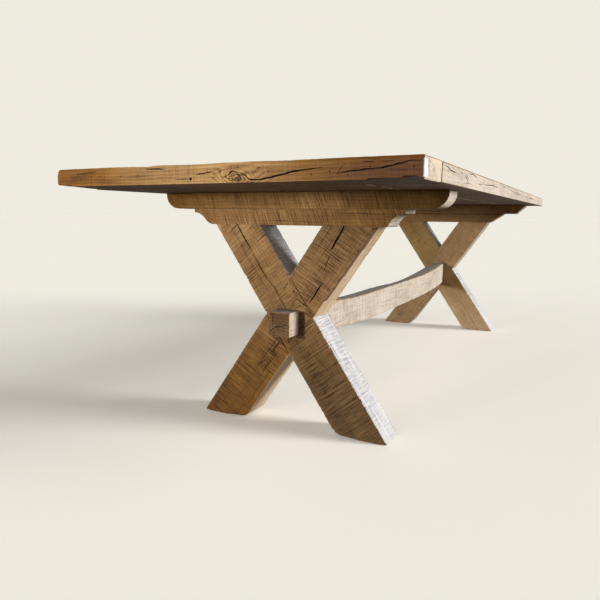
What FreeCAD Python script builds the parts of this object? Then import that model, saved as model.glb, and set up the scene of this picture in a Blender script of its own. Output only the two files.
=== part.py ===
"""Sawbuck table: a plank top with breadboard ends on two X trestles tied by one stretcher.

Frame: millimetres, +Z up, +X along the table's length, origin on the floor under the centre.
"near" names the trestle and end board at -X, "far" those at +X. The two ends are mirror images.
"""
import FreeCAD
import Part
import math
import os
import re
import Sketcher

SIZES = {
    # Overall
    "top_length": 2700.0,
    "top_width": 1000.0,
    "table_height": 760.0,
    "top_thickness": 48.0,
    # Breadboard ends
    "end_board_width": 135.0,
    "end_board_edge_radius": 9.0,
    "end_board_corner_radius": 3.0,
    "tongue_length": 30.0,
    "tongue_thickness": 16.0,
    "tongue_setback": 40.0,
    "tongue_end_gap": 2.0,
    # Planks and the loose splines between them
    "plank_count": 6.0,
    "plank_edge_radius": 9.0,
    "spline_width": 24.0,
    "spline_thickness": 12.0,
    "spline_setback": 60.0,
    "spline_side_gap": 0.4,
    # Wooden pins that hold the tongues
    "end_pin_diameter": 10.0,
    "end_pin_length": 38.0,
    # Beams at the head of each trestle
    "bearer_setback": 39.0,
    "bearer_height": 50.0,
    "bearer_thickness": 90.0,
    "bearer_end_radius": 46.0,
    "head_beam_length": 696.0,
    "head_beam_height": 48.0,
    "head_beam_thickness": 90.0,
    "cove_radius": 50.0,
    "cove_step": 12.0,
    # Crossed legs
    "trestle_overhang": 440.0,
    "leg_width": 134.0,
    "leg_thickness": 100.0,
    "leg_angle": 55.5,
    "crossing_height": 347.0,
    "leg_tenon_thickness": 36.0,
    "leg_tenon_height": 34.0,
    "leg_tenon_shoulder": 22.0,
    "leg_mortise_end_gap": 2.0,
    "foot_arris": 5.0,
    # Stretcher, a bowed timber with a square tenon through each crossing
    "stretcher_width": 72.0,
    "stretcher_offset": 5.0,
    "stretcher_end_above_peg": 17.0,
    "stretcher_top_sag": 32.0,
    "stretcher_top_straight": 700.0,
    "stretcher_middle_below_peg": 51.0,
    "stretcher_near_end_below_peg": 13.0,
    "stretcher_near_straight": 150.0,
    "stretcher_far_end_below_peg": 26.0,
    "stretcher_far_straight": 300.0,
    "peg_width": 71.0,
    "peg_height": 74.0,
    "peg_drop": 19.0,
    "peg_projection": 55.0,
    "peg_chamfer": 5.0,
    # Steel screws: bearer into planks, and head beam into bearer
    "top_screw_diameter": 6.0,
    "top_screw_grip": 36.0,
    "top_screw_bite": 32.0,
    "top_screw_head_diameter": 12.0,
    "top_screw_head_height": 5.0,
    "coach_screw_diameter": 10.0,
    "coach_screw_bite": 36.0,
    "coach_screw_spacing": 120.0,
    "coach_head_diameter": 17.0,
    "coach_head_height": 7.0,
    "coach_head_recess": 12.0,
    "coach_counterbore_diameter": 26.0,
    "screw_tip_length": 6.0,
    "hole_clearance": 0.2,
    # Clearance between a tenon or tongue and its mortise or groove, on each side
    "joint_clearance": 0.2,
}

doc = FreeCAD.newDocument("sawbuck_table")
sheet = doc.addObject("Spreadsheet::Sheet", "Sizes")
for row, (alias, size) in enumerate(SIZES.items(), start=1):
    sheet.set(f"A{row}", alias)
    sheet.set(f"B{row}", str(size))
    sheet.setAlias(f"B{row}", alias)
doc.recompute()

SIZE_NAME = re.compile(r"\b(" + "|".join(SIZES) + r")\b")


def bound(formula):
    """Turn a formula on size names into an expression on the sheet's cells."""
    return SIZE_NAME.sub(r"Sizes.\1", str(formula))


def worth(formula):
    """The present value of a formula on size names."""
    return float(sheet.evalExpression(str(formula)))


# Places that several pieces share, as formulas on the sizes
TOP_UNDERSIDE = "(table_height - top_thickness)"
TOP_MIDDLE = "(table_height - top_thickness / 2)"
PLANK_END = "(top_length / 2 - end_board_width)"
PLANK_WIDTH = "(top_width / plank_count)"
BEARER_UNDERSIDE = f"({TOP_UNDERSIDE} - bearer_height)"
HEAD_UNDERSIDE = f"({BEARER_UNDERSIDE} - head_beam_height)"
TRESTLE_PLACE = "(top_length / 2 - trestle_overhang)"
INNER_FACE = f"({TRESTLE_PLACE} - leg_thickness / 2)"
OUTER_FACE = f"({TRESTLE_PLACE} + leg_thickness / 2)"
SCREW_LINE = f"({OUTER_FACE} - bearer_thickness / 2)"
LEG_SLOPE = "tan(leg_angle * 1deg)"
LEG_HALF_RUN = "(leg_width / 2 / sin(leg_angle * 1deg))"
FIRST_PLANK = f"({PLANK_WIDTH} / 2 - top_width / 2)"
BEARER_HALF = "(top_width / 2 - bearer_setback)"
PEG_TOP = "(crossing_height - peg_drop + peg_height / 2)"
PEG_BOTTOM = "(crossing_height - peg_drop - peg_height / 2)"
PEG_HALF = "(peg_width / 2)"


def make_body(label):
    """A PartDesign body with its own Label."""
    body = doc.addObject("PartDesign::Body", label)
    body.Label = label
    return body


def origin_feature(body, role):
    """One of the body's own origin planes or axes."""
    return next(item for item in body.Origin.OriginFeatures if item.Role == role)


def flat_sketch(body, name, plane, offset):
    """An empty sketch on an origin plane of the body, moved along the plane's normal."""
    sketch = body.newObject("Sketcher::SketchObject", name)
    sketch.AttachmentSupport = [(origin_feature(body, plane), "")]
    sketch.MapMode = "FlatFace"
    sketch.setExpression("AttachmentOffset.Base.z", bound(offset))
    return sketch


def hold_point(sketch, name, item, point, place):
    """Pin one end or centre of a sketch line or circle to a place given by two formulas."""
    for axis, formula in zip("XY", place):
        row = sketch.addConstraint(Sketcher.Constraint(f"Distance{axis}", item, point, worth(formula)))
        sketch.renameConstraint(row, f"{name}{axis.lower()}")
        sketch.setExpression(f"Constraints.{name}{axis.lower()}", bound(formula))


def upright_arc(start, end, rise):
    """The arc over a chord, bulging by rise to the right of the way from start to end."""
    chord = end - start
    side = FreeCAD.Vector(chord.y, -chord.x, 0).normalize()
    radius = chord.Length**2 / (8 * rise) + rise / 2
    centre = (start + end) / 2 + side * (rise - radius)
    if rise < 0:
        start, end = end, start
    angles = [math.atan2(point.y - centre.y, point.x - centre.x) for point in (start, end)]
    circle = Part.Circle(centre, FreeCAD.Vector(0, 0, 1), abs(radius))
    return Part.ArcOfCircle(circle, angles[0], angles[1])


def end_points(sketch, index, start):
    """The sketch's numbers for the start and end of an edge, in the outline's own order."""
    edge = sketch.Geometry[index]
    if (edge.StartPoint - start).Length < 1e-6:
        return 1, 2
    return 2, 1


def draw_outline(sketch, corners):
    """Draw a closed outline through corners; a third item in a corner bends the edge that leaves it.

    The bend names the height of the arc's middle point over its chord as a formula.
    """
    places = [FreeCAD.Vector(worth(corner[0]), worth(corner[1]), 0) for corner in corners]
    for index, corner in enumerate(corners):
        start, end = places[index], places[(index + 1) % len(corners)]
        if len(corner) == 2:
            sketch.addGeometry(Part.LineSegment(start, end))
        else:
            sketch.addGeometry(upright_arc(start, end, worth(corner[2])))
    ends = [end_points(sketch, index, places[index]) for index in range(len(corners))]
    for index in range(len(corners)):
        following = (index + 1) % len(corners)
        sketch.addConstraint(
            Sketcher.Constraint("Coincident", index, ends[index][1], following, ends[following][0])
        )
    for index, corner in enumerate(corners):
        hold_point(sketch, f"corner{index}", index, ends[index][0], corner[:2])
    for index, corner in enumerate(corners):
        if len(corner) == 3:
            chord = places[(index + 1) % len(corners)] - places[index]
            span = f"sqrt(({corners[(index + 1) % len(corners)][0]} - ({corner[0]}))^2"
            span += f" + ({corners[(index + 1) % len(corners)][1]} - ({corner[1]}))^2)"
            radius = f"abs(({span})^2 / (8 * ({corner[2]})) + ({corner[2]}) / 2)"
            row = sketch.addConstraint(
                Sketcher.Constraint("Radius", index, sketch.Geometry[index].Radius)
            )
            sketch.renameConstraint(row, f"bend{index}")
            sketch.setExpression(f"Constraints.bend{index}", bound(radius))


def draw_circle(sketch, centre, radius):
    """A circle held by its centre and radius formulas."""
    middle = FreeCAD.Vector(worth(centre[0]), worth(centre[1]), 0)
    item = sketch.addGeometry(Part.Circle(middle, FreeCAD.Vector(0, 0, 1), worth(radius)))
    hold_point(sketch, f"centre{item}", item, 3, centre)
    row = sketch.addConstraint(Sketcher.Constraint("Radius", item, worth(radius)))
    sketch.renameConstraint(row, f"radius{item}")
    sketch.setExpression(f"Constraints.radius{item}", bound(radius))


def extrude(body, name, kind, sketch, length):
    """Pad a sketch, or pocket it, along the sketch's own normal."""
    feature = body.newObject(f"PartDesign::{kind}", name)
    feature.Profile = sketch
    feature.Reversed = kind == "Pocket"
    feature.setExpression("Length", bound(length))
    return feature


def prism(body, name, plane, reach, corners, kind="Pad"):
    """Add or cut a straight prism with the given outline between two offsets from a plane."""
    low, high = reach
    sketch = flat_sketch(body, f"{name}_sketch", plane, low)
    draw_outline(sketch, corners)
    return extrude(body, name, kind, sketch, f"({high}) - ({low})")


def block(body, name, spans, kind="Pad"):
    """Add or cut an upright block given by its X, Y and Z spans."""
    (left, right), (front, back), reach = spans
    corners = [(left, front), (right, front), (right, back), (left, back)]
    return prism(body, name, "XY_Plane", reach, corners, kind)


def bore(body, name, centre, diameter, reach, plane="XY_Plane"):
    """Drill a round hole between two offsets from a plane."""
    low, high = reach
    sketch = flat_sketch(body, f"{name}_sketch", plane, low)
    draw_circle(sketch, centre, f"({diameter}) / 2")
    return extrude(body, name, "Pocket", sketch, f"({high}) - ({low})")


def repeat_across(body, name, features, pitch, count):
    """Repeat features along the table's width, first copy included."""
    pattern = body.newObject("PartDesign::LinearPattern", name)
    pattern.Originals = features
    pattern.Direction = (origin_feature(body, "Y_Axis"), [""])
    pattern.setExpression("Occurrences", bound(count))
    pattern.setExpression("Length", bound(f"({pitch}) * ({count} - 1)"))
    body.Tip = pattern
    return pattern


def dress_edges(body, name, kind, formula, chosen):
    """Fillet or chamfer the edges that a test on their ends and middle picks out."""
    doc.recompute()
    base = body.Tip
    names = [
        f"Edge{index}"
        for index, edge in enumerate(base.Shape.Edges, start=1)
        if all(chosen(point) for point in edge.discretize(3))
    ]
    feature = body.newObject(f"PartDesign::{kind}", name)
    feature.Base = (base, names)
    feature.setExpression("Radius" if kind == "Fillet" else "Size", bound(formula))
    return feature


def put(body, place, turned=False):
    """Place a body by three formulas, turned half round about Z where asked."""
    turn = FreeCAD.Rotation(FreeCAD.Vector(0, 0, 1), 180 if turned else 0)
    body.Placement = FreeCAD.Placement(FreeCAD.Vector(0, 0, 0), turn)
    for axis, formula in zip("xyz", place):
        body.setExpression(f"Placement.Base.{axis}", bound(formula))


def is_near(number, formula):
    """Whether a coordinate equals a formula's present value."""
    return abs(number - worth(formula)) < 1e-4


def both_ways(formula):
    """The span from minus a formula to plus it."""
    return (f"-({formula})", formula)


def around(middle, formula):
    """The span from a formula below a middle to the same above it."""
    return (f"{middle} - ({formula})", f"{middle} + ({formula})")


def centred_in_top(thickness):
    """The span of something centred in the top's thickness, measured from the underside."""
    return (f"(top_thickness - {thickness}) / 2", f"(top_thickness + {thickness}) / 2")


# --- Top -------------------------------------------------------------------------------------


def make_plank(index, count):
    """A lengthwise plank with tongues at both ends and grooves where it has a neighbour."""
    body = make_body(f"top_plank_{index + 1}")
    half = f"{PLANK_WIDTH} / 2"
    first, last = index == 0, index == count - 1
    block(body, "board", (both_ways(PLANK_END), both_ways(half), ("0", "top_thickness")))
    across = (
        f"-({half})" + (" + tongue_setback" if first else ""),
        f"{half}" + (" - tongue_setback" if last else ""),
    )
    tip = f"{PLANK_END} + tongue_length"
    height = centred_in_top("tongue_thickness")
    block(body, "far_tongue", ((PLANK_END, tip), across, height))
    block(body, "near_tongue", ((f"-({tip})", f"-{PLANK_END}"), across, height))
    run = both_ways(f"{PLANK_END} - spline_setback")
    depth = "(spline_width / 2 + spline_side_gap)"
    channel = centred_in_top("spline_thickness")
    if not first:
        block(body, "groove_below", (run, (f"-({half})", f"-({half}) + {depth}"), channel), "Pocket")
    if not last:
        block(body, "groove_above", (run, (f"{half} - {depth}", half), channel), "Pocket")
    pin_line = f"({PLANK_END} + tongue_length / 2)"
    for end, sign in (("near", "-"), ("far", "")):
        bore(
            body, f"{end}_pilot", (sign + SCREW_LINE, "0"), "top_screw_diameter + hole_clearance",
            ("0", "top_screw_bite + hole_clearance"),
        )
        bore(
            body, f"{end}_pin_hole", (sign + pin_line, "0"), "end_pin_diameter + hole_clearance", height
        )
    if first or last:
        side = half if last else f"-({half})"
        dress_edges(
            body, "worn_edge", "Fillet", "plank_edge_radius",
            lambda point: is_near(point.y, side) and is_near(point.z, "top_thickness"),
        )
    put(body, ("0", f"{FIRST_PLANK} + {index} * {PLANK_WIDTH}", TOP_UNDERSIDE))
    return body


def make_splines():
    """The loose tongues in the seams between the planks."""
    body = make_body("top_splines")
    along = both_ways(f"{PLANK_END} - spline_setback - spline_side_gap")
    across = both_ways("spline_width / 2")
    spline = block(body, "spline", (along, across, both_ways("spline_thickness / 2")))
    repeat_across(body, "seams", [spline], PLANK_WIDTH, "(plank_count - 1)")
    put(body, ("0", f"{FIRST_PLANK} + {PLANK_WIDTH} / 2", TOP_MIDDLE))
    return body


def make_end_board(end):
    """A breadboard end: grooved for the tongues, bored for their pins, worn round outside."""
    body = make_body(f"end_board_{end}")
    half = "end_board_width / 2"
    side = "top_width / 2"
    block(body, "board", (both_ways(half), both_ways(side), ("0", "top_thickness")))
    depth = f"-({half}) + tongue_length + tongue_end_gap"
    low, high = centred_in_top("tongue_thickness")
    block(
        body, "groove",
        (
            (f"-({half})", depth),
            both_ways(f"{side} - tongue_setback + joint_clearance"),
            (f"{low} - joint_clearance", f"{high} + joint_clearance"),
        ),
        "Pocket",
    )
    hole = bore(
        body, "pin_hole", (f"-({half}) + tongue_length / 2", FIRST_PLANK),
        "end_pin_diameter + hole_clearance", ("top_thickness - end_pin_length", "top_thickness"),
    )
    repeat_across(body, "pin_holes", [hole], PLANK_WIDTH, "plank_count")
    dress_edges(
        body, "worn_edge", "Fillet", "end_board_edge_radius",
        lambda point: is_near(point.z, "top_thickness") and (
            is_near(point.x, half) or is_near(abs(point.y), side)
        ),
    )
    dress_edges(
        body, "corners", "Fillet", "end_board_corner_radius",
        lambda point: is_near(point.x, half) and is_near(abs(point.y), side),
    )
    sign = "-" if end == "near" else ""
    put(body, (f"{sign}(top_length / 2 - {half})", "0", TOP_UNDERSIDE), turned=end == "near")
    return body


def make_end_pins(end):
    """The wooden pins that hold one breadboard end on its tongues."""
    body = make_body(f"end_board_pins_{end}")
    sketch = flat_sketch(body, "pin_sketch", "XY_Plane", "0")
    draw_circle(sketch, ("0", "0"), "end_pin_diameter / 2")
    pin = extrude(body, "pin", "Pad", sketch, "end_pin_length")
    repeat_across(body, "pins", [pin], PLANK_WIDTH, "plank_count")
    sign = "-" if end == "near" else ""
    line = f"{sign}({PLANK_END} + tongue_length / 2)"
    put(body, (line, FIRST_PLANK, "table_height - end_pin_length"))
    return body


# --- Trestle heads ---------------------------------------------------------------------------


def make_bearer(end):
    """The upper beam under the planks, with round lower ends and recessed screw holes."""
    body = make_body(f"bearer_{end}")
    block(
        body, "beam",
        (both_ways("bearer_thickness / 2"), both_ways(BEARER_HALF), ("0", "bearer_height")),
    )
    dress_edges(
        body, "round_ends", "Fillet", "bearer_end_radius",
        lambda point: is_near(point.z, "0") and is_near(abs(point.y), BEARER_HALF),
    )
    shank = bore(
        body, "screw_hole", ("0", FIRST_PLANK), "top_screw_diameter + hole_clearance",
        ("0", "bearer_height"),
    )
    recess = bore(
        body, "screw_recess", ("0", FIRST_PLANK), "top_screw_head_diameter + hole_clearance",
        ("0", "bearer_height - top_screw_grip"),
    )
    repeat_across(body, "screw_holes", [shank, recess], PLANK_WIDTH, "plank_count")
    pilot = bore(
        body, "coach_pilot", ("0", "-coach_screw_spacing / 2"), "coach_screw_diameter + hole_clearance",
        ("0", "coach_screw_bite + hole_clearance"),
    )
    repeat_across(body, "coach_pilots", [pilot], "coach_screw_spacing", "2")
    sign = "-" if end == "near" else ""
    place = f"{sign}({OUTER_FACE} - bearer_thickness / 2)"
    put(body, (place, "0", BEARER_UNDERSIDE), turned=end == "near")
    return body


def leg_outline(lean, low, high, inset="0"):
    """The slanted outline of a leg between two heights; a positive lean has its head at +Y."""
    corners = []
    for height, sides in ((low, "-+"), (high, "+-")):
        middle = f"{lean} * (({height}) - crossing_height) / {LEG_SLOPE}"
        corners += [(f"{middle} {side} ({LEG_HALF_RUN} - ({inset}))", height) for side in sides]
    return corners


def make_head_beam(end):
    """The lower beam that the legs are tenoned into, with a cove cut under each end."""
    body = make_body(f"head_beam_{end}")
    half = "head_beam_length / 2"
    thickness = "head_beam_thickness / 2"
    block(body, "beam", (both_ways(thickness), both_ways(half), ("0", "head_beam_height")))
    cove_height = "head_beam_height - cove_step - cove_radius"
    for side, sign in (("left", "-"), ("right", "")):
        bore(
            body, f"{side}_cove", (f"{sign}{half}", cove_height), "2 * cove_radius",
            both_ways(thickness), "YZ_Plane",
        )
    middle = "(head_beam_thickness - leg_thickness) / 2"
    tenon = "(leg_tenon_thickness / 2 + joint_clearance)"
    top = f"{HEAD_UNDERSIDE} + leg_tenon_height + leg_mortise_end_gap"
    for side, lean in (("left", "-1"), ("right", "1")):
        outline = leg_outline(lean, HEAD_UNDERSIDE, top, "leg_tenon_shoulder - joint_clearance")
        lowered = [(across, f"{height} - {HEAD_UNDERSIDE}") for across, height in outline]
        reach = (f"{middle} - {tenon}", f"{middle} + {tenon}")
        prism(body, f"{side}_mortise", "YZ_Plane", reach, lowered, "Pocket")
    first_screw = ("0", "-coach_screw_spacing / 2")
    hole = bore(
        body, "coach_hole", first_screw, "coach_screw_diameter + hole_clearance",
        ("0", "head_beam_height"),
    )
    recess = bore(
        body, "coach_recess", first_screw, "coach_counterbore_diameter", ("0", "coach_head_recess")
    )
    repeat_across(body, "coach_holes", [hole, recess], "coach_screw_spacing", "2")
    sign = "-" if end == "near" else ""
    place = f"{sign}({OUTER_FACE} - {thickness})"
    put(body, (place, "0", HEAD_UNDERSIDE), turned=end == "near")
    return body


def make_screws(label, names, place):
    """A row of identical screws, heads down; names gives their sizes and their row."""
    body = make_body(label)
    sketch = flat_sketch(body, "screw_sketch", "XZ_Plane", "0")
    shank, head = f"{names['diameter']} / 2", f"{names['head_diameter']} / 2"
    draw_outline(
        sketch,
        [
            ("0", f"-{names['head_height']}"),
            (head, f"-{names['head_height']}"),
            (head, "0"),
            (shank, "0"),
            (shank, f"{names['length']} - screw_tip_length"),
            ("0", names["length"]),
        ],
    )
    screw = body.newObject("PartDesign::Revolution", "screw")
    screw.Profile = sketch
    screw.ReferenceAxis = (sketch, ["V_Axis"])
    screw.Angle = 360
    repeat_across(body, "screws", [screw], names["pitch"], names["count"])
    put(body, place)
    return body


def make_top_screws(end):
    """The screws that run up through one bearer, one into each plank."""
    names = {
        "diameter": "top_screw_diameter",
        "head_diameter": "top_screw_head_diameter",
        "head_height": "top_screw_head_height",
        "length": "(top_screw_grip + top_screw_bite)",
        "pitch": PLANK_WIDTH,
        "count": "plank_count",
    }
    sign = "-" if end == "near" else ""
    seat = f"{TOP_UNDERSIDE} - top_screw_grip"
    return make_screws(f"top_screws_{end}", names, (sign + SCREW_LINE, FIRST_PLANK, seat))


def make_coach_screws(end):
    """The coach screws that pull one head beam up against its bearer."""
    names = {
        "diameter": "coach_screw_diameter",
        "head_diameter": "coach_head_diameter",
        "head_height": "coach_head_height",
        "length": "(head_beam_height - coach_head_recess + coach_screw_bite)",
        "pitch": "coach_screw_spacing",
        "count": "2",
    }
    sign = "-" if end == "near" else ""
    seat = f"{HEAD_UNDERSIDE} + coach_head_recess"
    line = f"{sign}({OUTER_FACE} - head_beam_thickness / 2)"
    return make_screws(f"coach_screws_{end}", names, (line, "-coach_screw_spacing / 2", seat))


# --- Legs and stretcher ----------------------------------------------------------------------


def make_leg(label, end, lean, cut_side):
    """A slanted leg, halved at the crossing on its +X or -X side and mortised for the peg."""
    body = make_body(label)
    half = "leg_thickness / 2"
    prism(body, "timber", "YZ_Plane", both_ways(half), leg_outline(lean, "0", HEAD_UNDERSIDE))
    tip = f"{HEAD_UNDERSIDE} + leg_tenon_height"
    tenon = leg_outline(lean, HEAD_UNDERSIDE, tip, "leg_tenon_shoulder")
    prism(body, "tenon", "YZ_Plane", both_ways("leg_tenon_thickness / 2"), tenon)
    lap = leg_outline(f"-1 * {lean}", "0", HEAD_UNDERSIDE, "-joint_clearance")
    reach = ("0", half) if cut_side == "+" else (f"-{half}", "0")
    prism(body, "lap", "YZ_Plane", reach, lap, "Pocket")
    block(
        body, "mortise",
        (
            both_ways(half),
            around("stretcher_offset", f"{PEG_HALF} + joint_clearance"),
            (f"{PEG_BOTTOM} - joint_clearance", f"{PEG_TOP} + joint_clearance"),
        ),
        "Pocket",
    )
    dress_edges(body, "foot", "Chamfer", "foot_arris", lambda point: is_near(point.z, "0"))
    sign = "-" if end == "near" else ""
    put(body, (sign + TRESTLE_PLACE, "0", "0"))
    return body


def make_stretcher():
    """The bowed timber between the trestles, with a square peg through each crossing."""
    body = make_body("stretcher")
    end_top = f"{PEG_TOP} + stretcher_end_above_peg"
    middle_top = f"{end_top} - stretcher_top_sag"
    top_half = "stretcher_top_straight / 2"
    top_bend = "-stretcher_top_sag / 4"
    near_bottom = f"{PEG_BOTTOM} - stretcher_near_end_below_peg"
    far_bottom = f"{PEG_BOTTOM} - stretcher_far_end_below_peg"
    middle_bottom = f"{PEG_BOTTOM} - stretcher_middle_below_peg"
    near_bend = "(stretcher_middle_below_peg - stretcher_near_end_below_peg) / 4"
    far_bend = "(stretcher_middle_below_peg - stretcher_far_end_below_peg) / 4"
    outline = [
        (f"-{INNER_FACE}", near_bottom, near_bend),
        ("-stretcher_near_straight", middle_bottom),
        ("stretcher_far_straight", middle_bottom, far_bend),
        (INNER_FACE, far_bottom),
        (INNER_FACE, end_top, top_bend),
        (top_half, middle_top),
        (f"-{top_half}", middle_top, top_bend),
        (f"-{INNER_FACE}", end_top),
    ]
    prism(body, "timber", "XZ_Plane", around("-stretcher_offset", "stretcher_width / 2"), outline)
    tip = f"{OUTER_FACE} + peg_projection"
    for end, along in (("near", (f"-({tip})", f"-{INNER_FACE}")), ("far", (INNER_FACE, tip))):
        block(body, f"{end}_peg", (along, around("stretcher_offset", PEG_HALF), (PEG_BOTTOM, PEG_TOP)))
    dress_edges(
        body, "peg_ends", "Chamfer", "peg_chamfer", lambda point: is_near(abs(point.x), tip)
    )
    return body


def check_document():
    """Stop if any feature failed, any cut removed nothing or any piece is not a valid solid."""
    for item in doc.Objects:
        if {"Invalid", "Error"} & set(item.State):
            raise RuntimeError(f"{item.Label} of {item.TypeId} failed: {item.State}")
        if item.TypeId == "PartDesign::Pocket":
            if item.BaseFeature.Shape.Volume - item.Shape.Volume < 1.0:
                raise RuntimeError(f"{item.Label} cuts nothing")


def write_pieces(bodies):
    """Write each piece to its own STEP file."""
    os.makedirs("parts", exist_ok=True)
    for body in bodies:
        if body.Shape.isNull() or not body.Shape.isValid():
            raise RuntimeError(f"{body.Label} has no valid shape")
        body.Shape.exportStep(f"parts/{body.Label}.step")
        box = body.Shape.BoundBox
        print(
            f"{body.Label}: {len(body.Shape.Solids)} solids, {body.Shape.Volume / 1000:.1f} cm3,"
            f" X {box.XMin:.1f}..{box.XMax:.1f} Y {box.YMin:.1f}..{box.YMax:.1f}"
            f" Z {box.ZMin:.1f}..{box.ZMax:.1f}"
        )


plank_total = round(worth("plank_count"))
pieces = [make_plank(index, plank_total) for index in range(plank_total)]
pieces.append(make_splines())
for end_name in ("near", "far"):
    pieces.append(make_end_board(end_name))
    pieces.append(make_end_pins(end_name))
    pieces.append(make_bearer(end_name))
    pieces.append(make_head_beam(end_name))
    pieces.append(make_top_screws(end_name))
    pieces.append(make_coach_screws(end_name))
pieces.append(make_leg("leg_near_outer", "near", "1", "+"))
pieces.append(make_leg("leg_near_inner", "near", "-1", "-"))
pieces.append(make_leg("leg_far_outer", "far", "1", "-"))
pieces.append(make_leg("leg_far_inner", "far", "-1", "+"))
pieces.append(make_stretcher())
doc.recompute()
check_document()
write_pieces(pieces)
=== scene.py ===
"""Dresses the sawbuck table: worn, band-sawn oak timbers on the fixed frame.

+X runs along the table and +Z up. "near" names the end at -X and "far" the end at +X. Sizes are in
millimetres, as on a drawing, and meshes are in metres.
"""
from __future__ import annotations

import logging
import math
import random
from contextlib import contextmanager
from dataclasses import dataclass, field
from enum import Enum
from typing import Callable, Iterator, Sequence

import bmesh
import bpy
import numpy as np
from mathutils import Matrix, Vector

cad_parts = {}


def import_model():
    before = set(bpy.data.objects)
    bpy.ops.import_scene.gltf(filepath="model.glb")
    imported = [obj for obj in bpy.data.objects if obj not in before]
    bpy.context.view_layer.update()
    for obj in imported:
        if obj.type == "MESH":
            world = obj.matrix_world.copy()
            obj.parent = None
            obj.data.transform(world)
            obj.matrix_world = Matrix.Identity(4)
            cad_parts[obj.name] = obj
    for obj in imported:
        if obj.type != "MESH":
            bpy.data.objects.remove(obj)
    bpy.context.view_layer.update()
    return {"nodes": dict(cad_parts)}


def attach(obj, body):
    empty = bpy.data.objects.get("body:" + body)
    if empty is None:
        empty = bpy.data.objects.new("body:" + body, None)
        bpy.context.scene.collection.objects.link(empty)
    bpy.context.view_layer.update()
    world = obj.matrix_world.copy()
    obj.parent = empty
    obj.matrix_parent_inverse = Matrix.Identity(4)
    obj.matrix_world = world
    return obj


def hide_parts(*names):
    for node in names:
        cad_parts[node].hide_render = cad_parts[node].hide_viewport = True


LOG = logging.getLogger("sawbuck_table")
MM = 0.001
TOUCH = 0.05
SMOOTH_ANGLE = math.radians(34)
BODY = "root"
Point = Sequence[float]
Colour = tuple[float, float, float, float]
PlaceTest = Callable[[Vector], bool]
EdgeTest = Callable[[Vector, Vector], bool]
Mask = Callable[[np.ndarray], np.ndarray]


class End(Enum):
    """The two ends of the table, as the sign of their X."""

    NEAR = -1
    FAR = 1

    @property
    def label(self) -> str:
        """The end's name as the frame's nodes have it."""
        return self.name.lower()


class Axis(Enum):
    """The three directions."""

    X = 0
    Y = 1
    Z = 2


# --- Shader maths ----------------------------------------------------------------------------


class Field:
    """A shader value, wrapped so that Python arithmetic adds Math nodes."""

    def __init__(self, graph: "Graph", socket: bpy.types.NodeSocket) -> None:
        """Keep the graph and the output socket that holds the value."""
        self.graph = graph
        self.socket = socket

    def __add__(self, other: "Field | float") -> "Field":
        """Sum."""
        return self.graph.maths("ADD", self, other)

    __radd__ = __add__

    def __sub__(self, other: "Field | float") -> "Field":
        """Difference."""
        return self.graph.maths("SUBTRACT", self, other)

    def __rsub__(self, other: float) -> "Field":
        """Difference from a number."""
        return self.graph.maths("SUBTRACT", other, self)

    def __mul__(self, other: "Field | float") -> "Field":
        """Product."""
        return self.graph.maths("MULTIPLY", self, other)

    __rmul__ = __mul__

    def __abs__(self) -> "Field":
        """Size without sign."""
        return self.graph.maths("ABSOLUTE", self)

    def ramp(self, low: float, high: float, start: float = 0.0, end: float = 1.0) -> "Field":
        """Map low..high smoothly onto start..end, held at both.

        Args:
            low: Value that gives start.
            high: Value that gives end.
            start: Result at low and before.
            end: Result at high and after.

        Returns:
            The mapped field.
        """
        node = self.graph.node(
            "ShaderNodeMapRange",
            {"interpolation_type": "SMOOTHSTEP"},
            {"Value": self, "From Min": low, "From Max": high, "To Min": start, "To Max": end},
        )
        return Field(self.graph, node.outputs["Result"])


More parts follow.
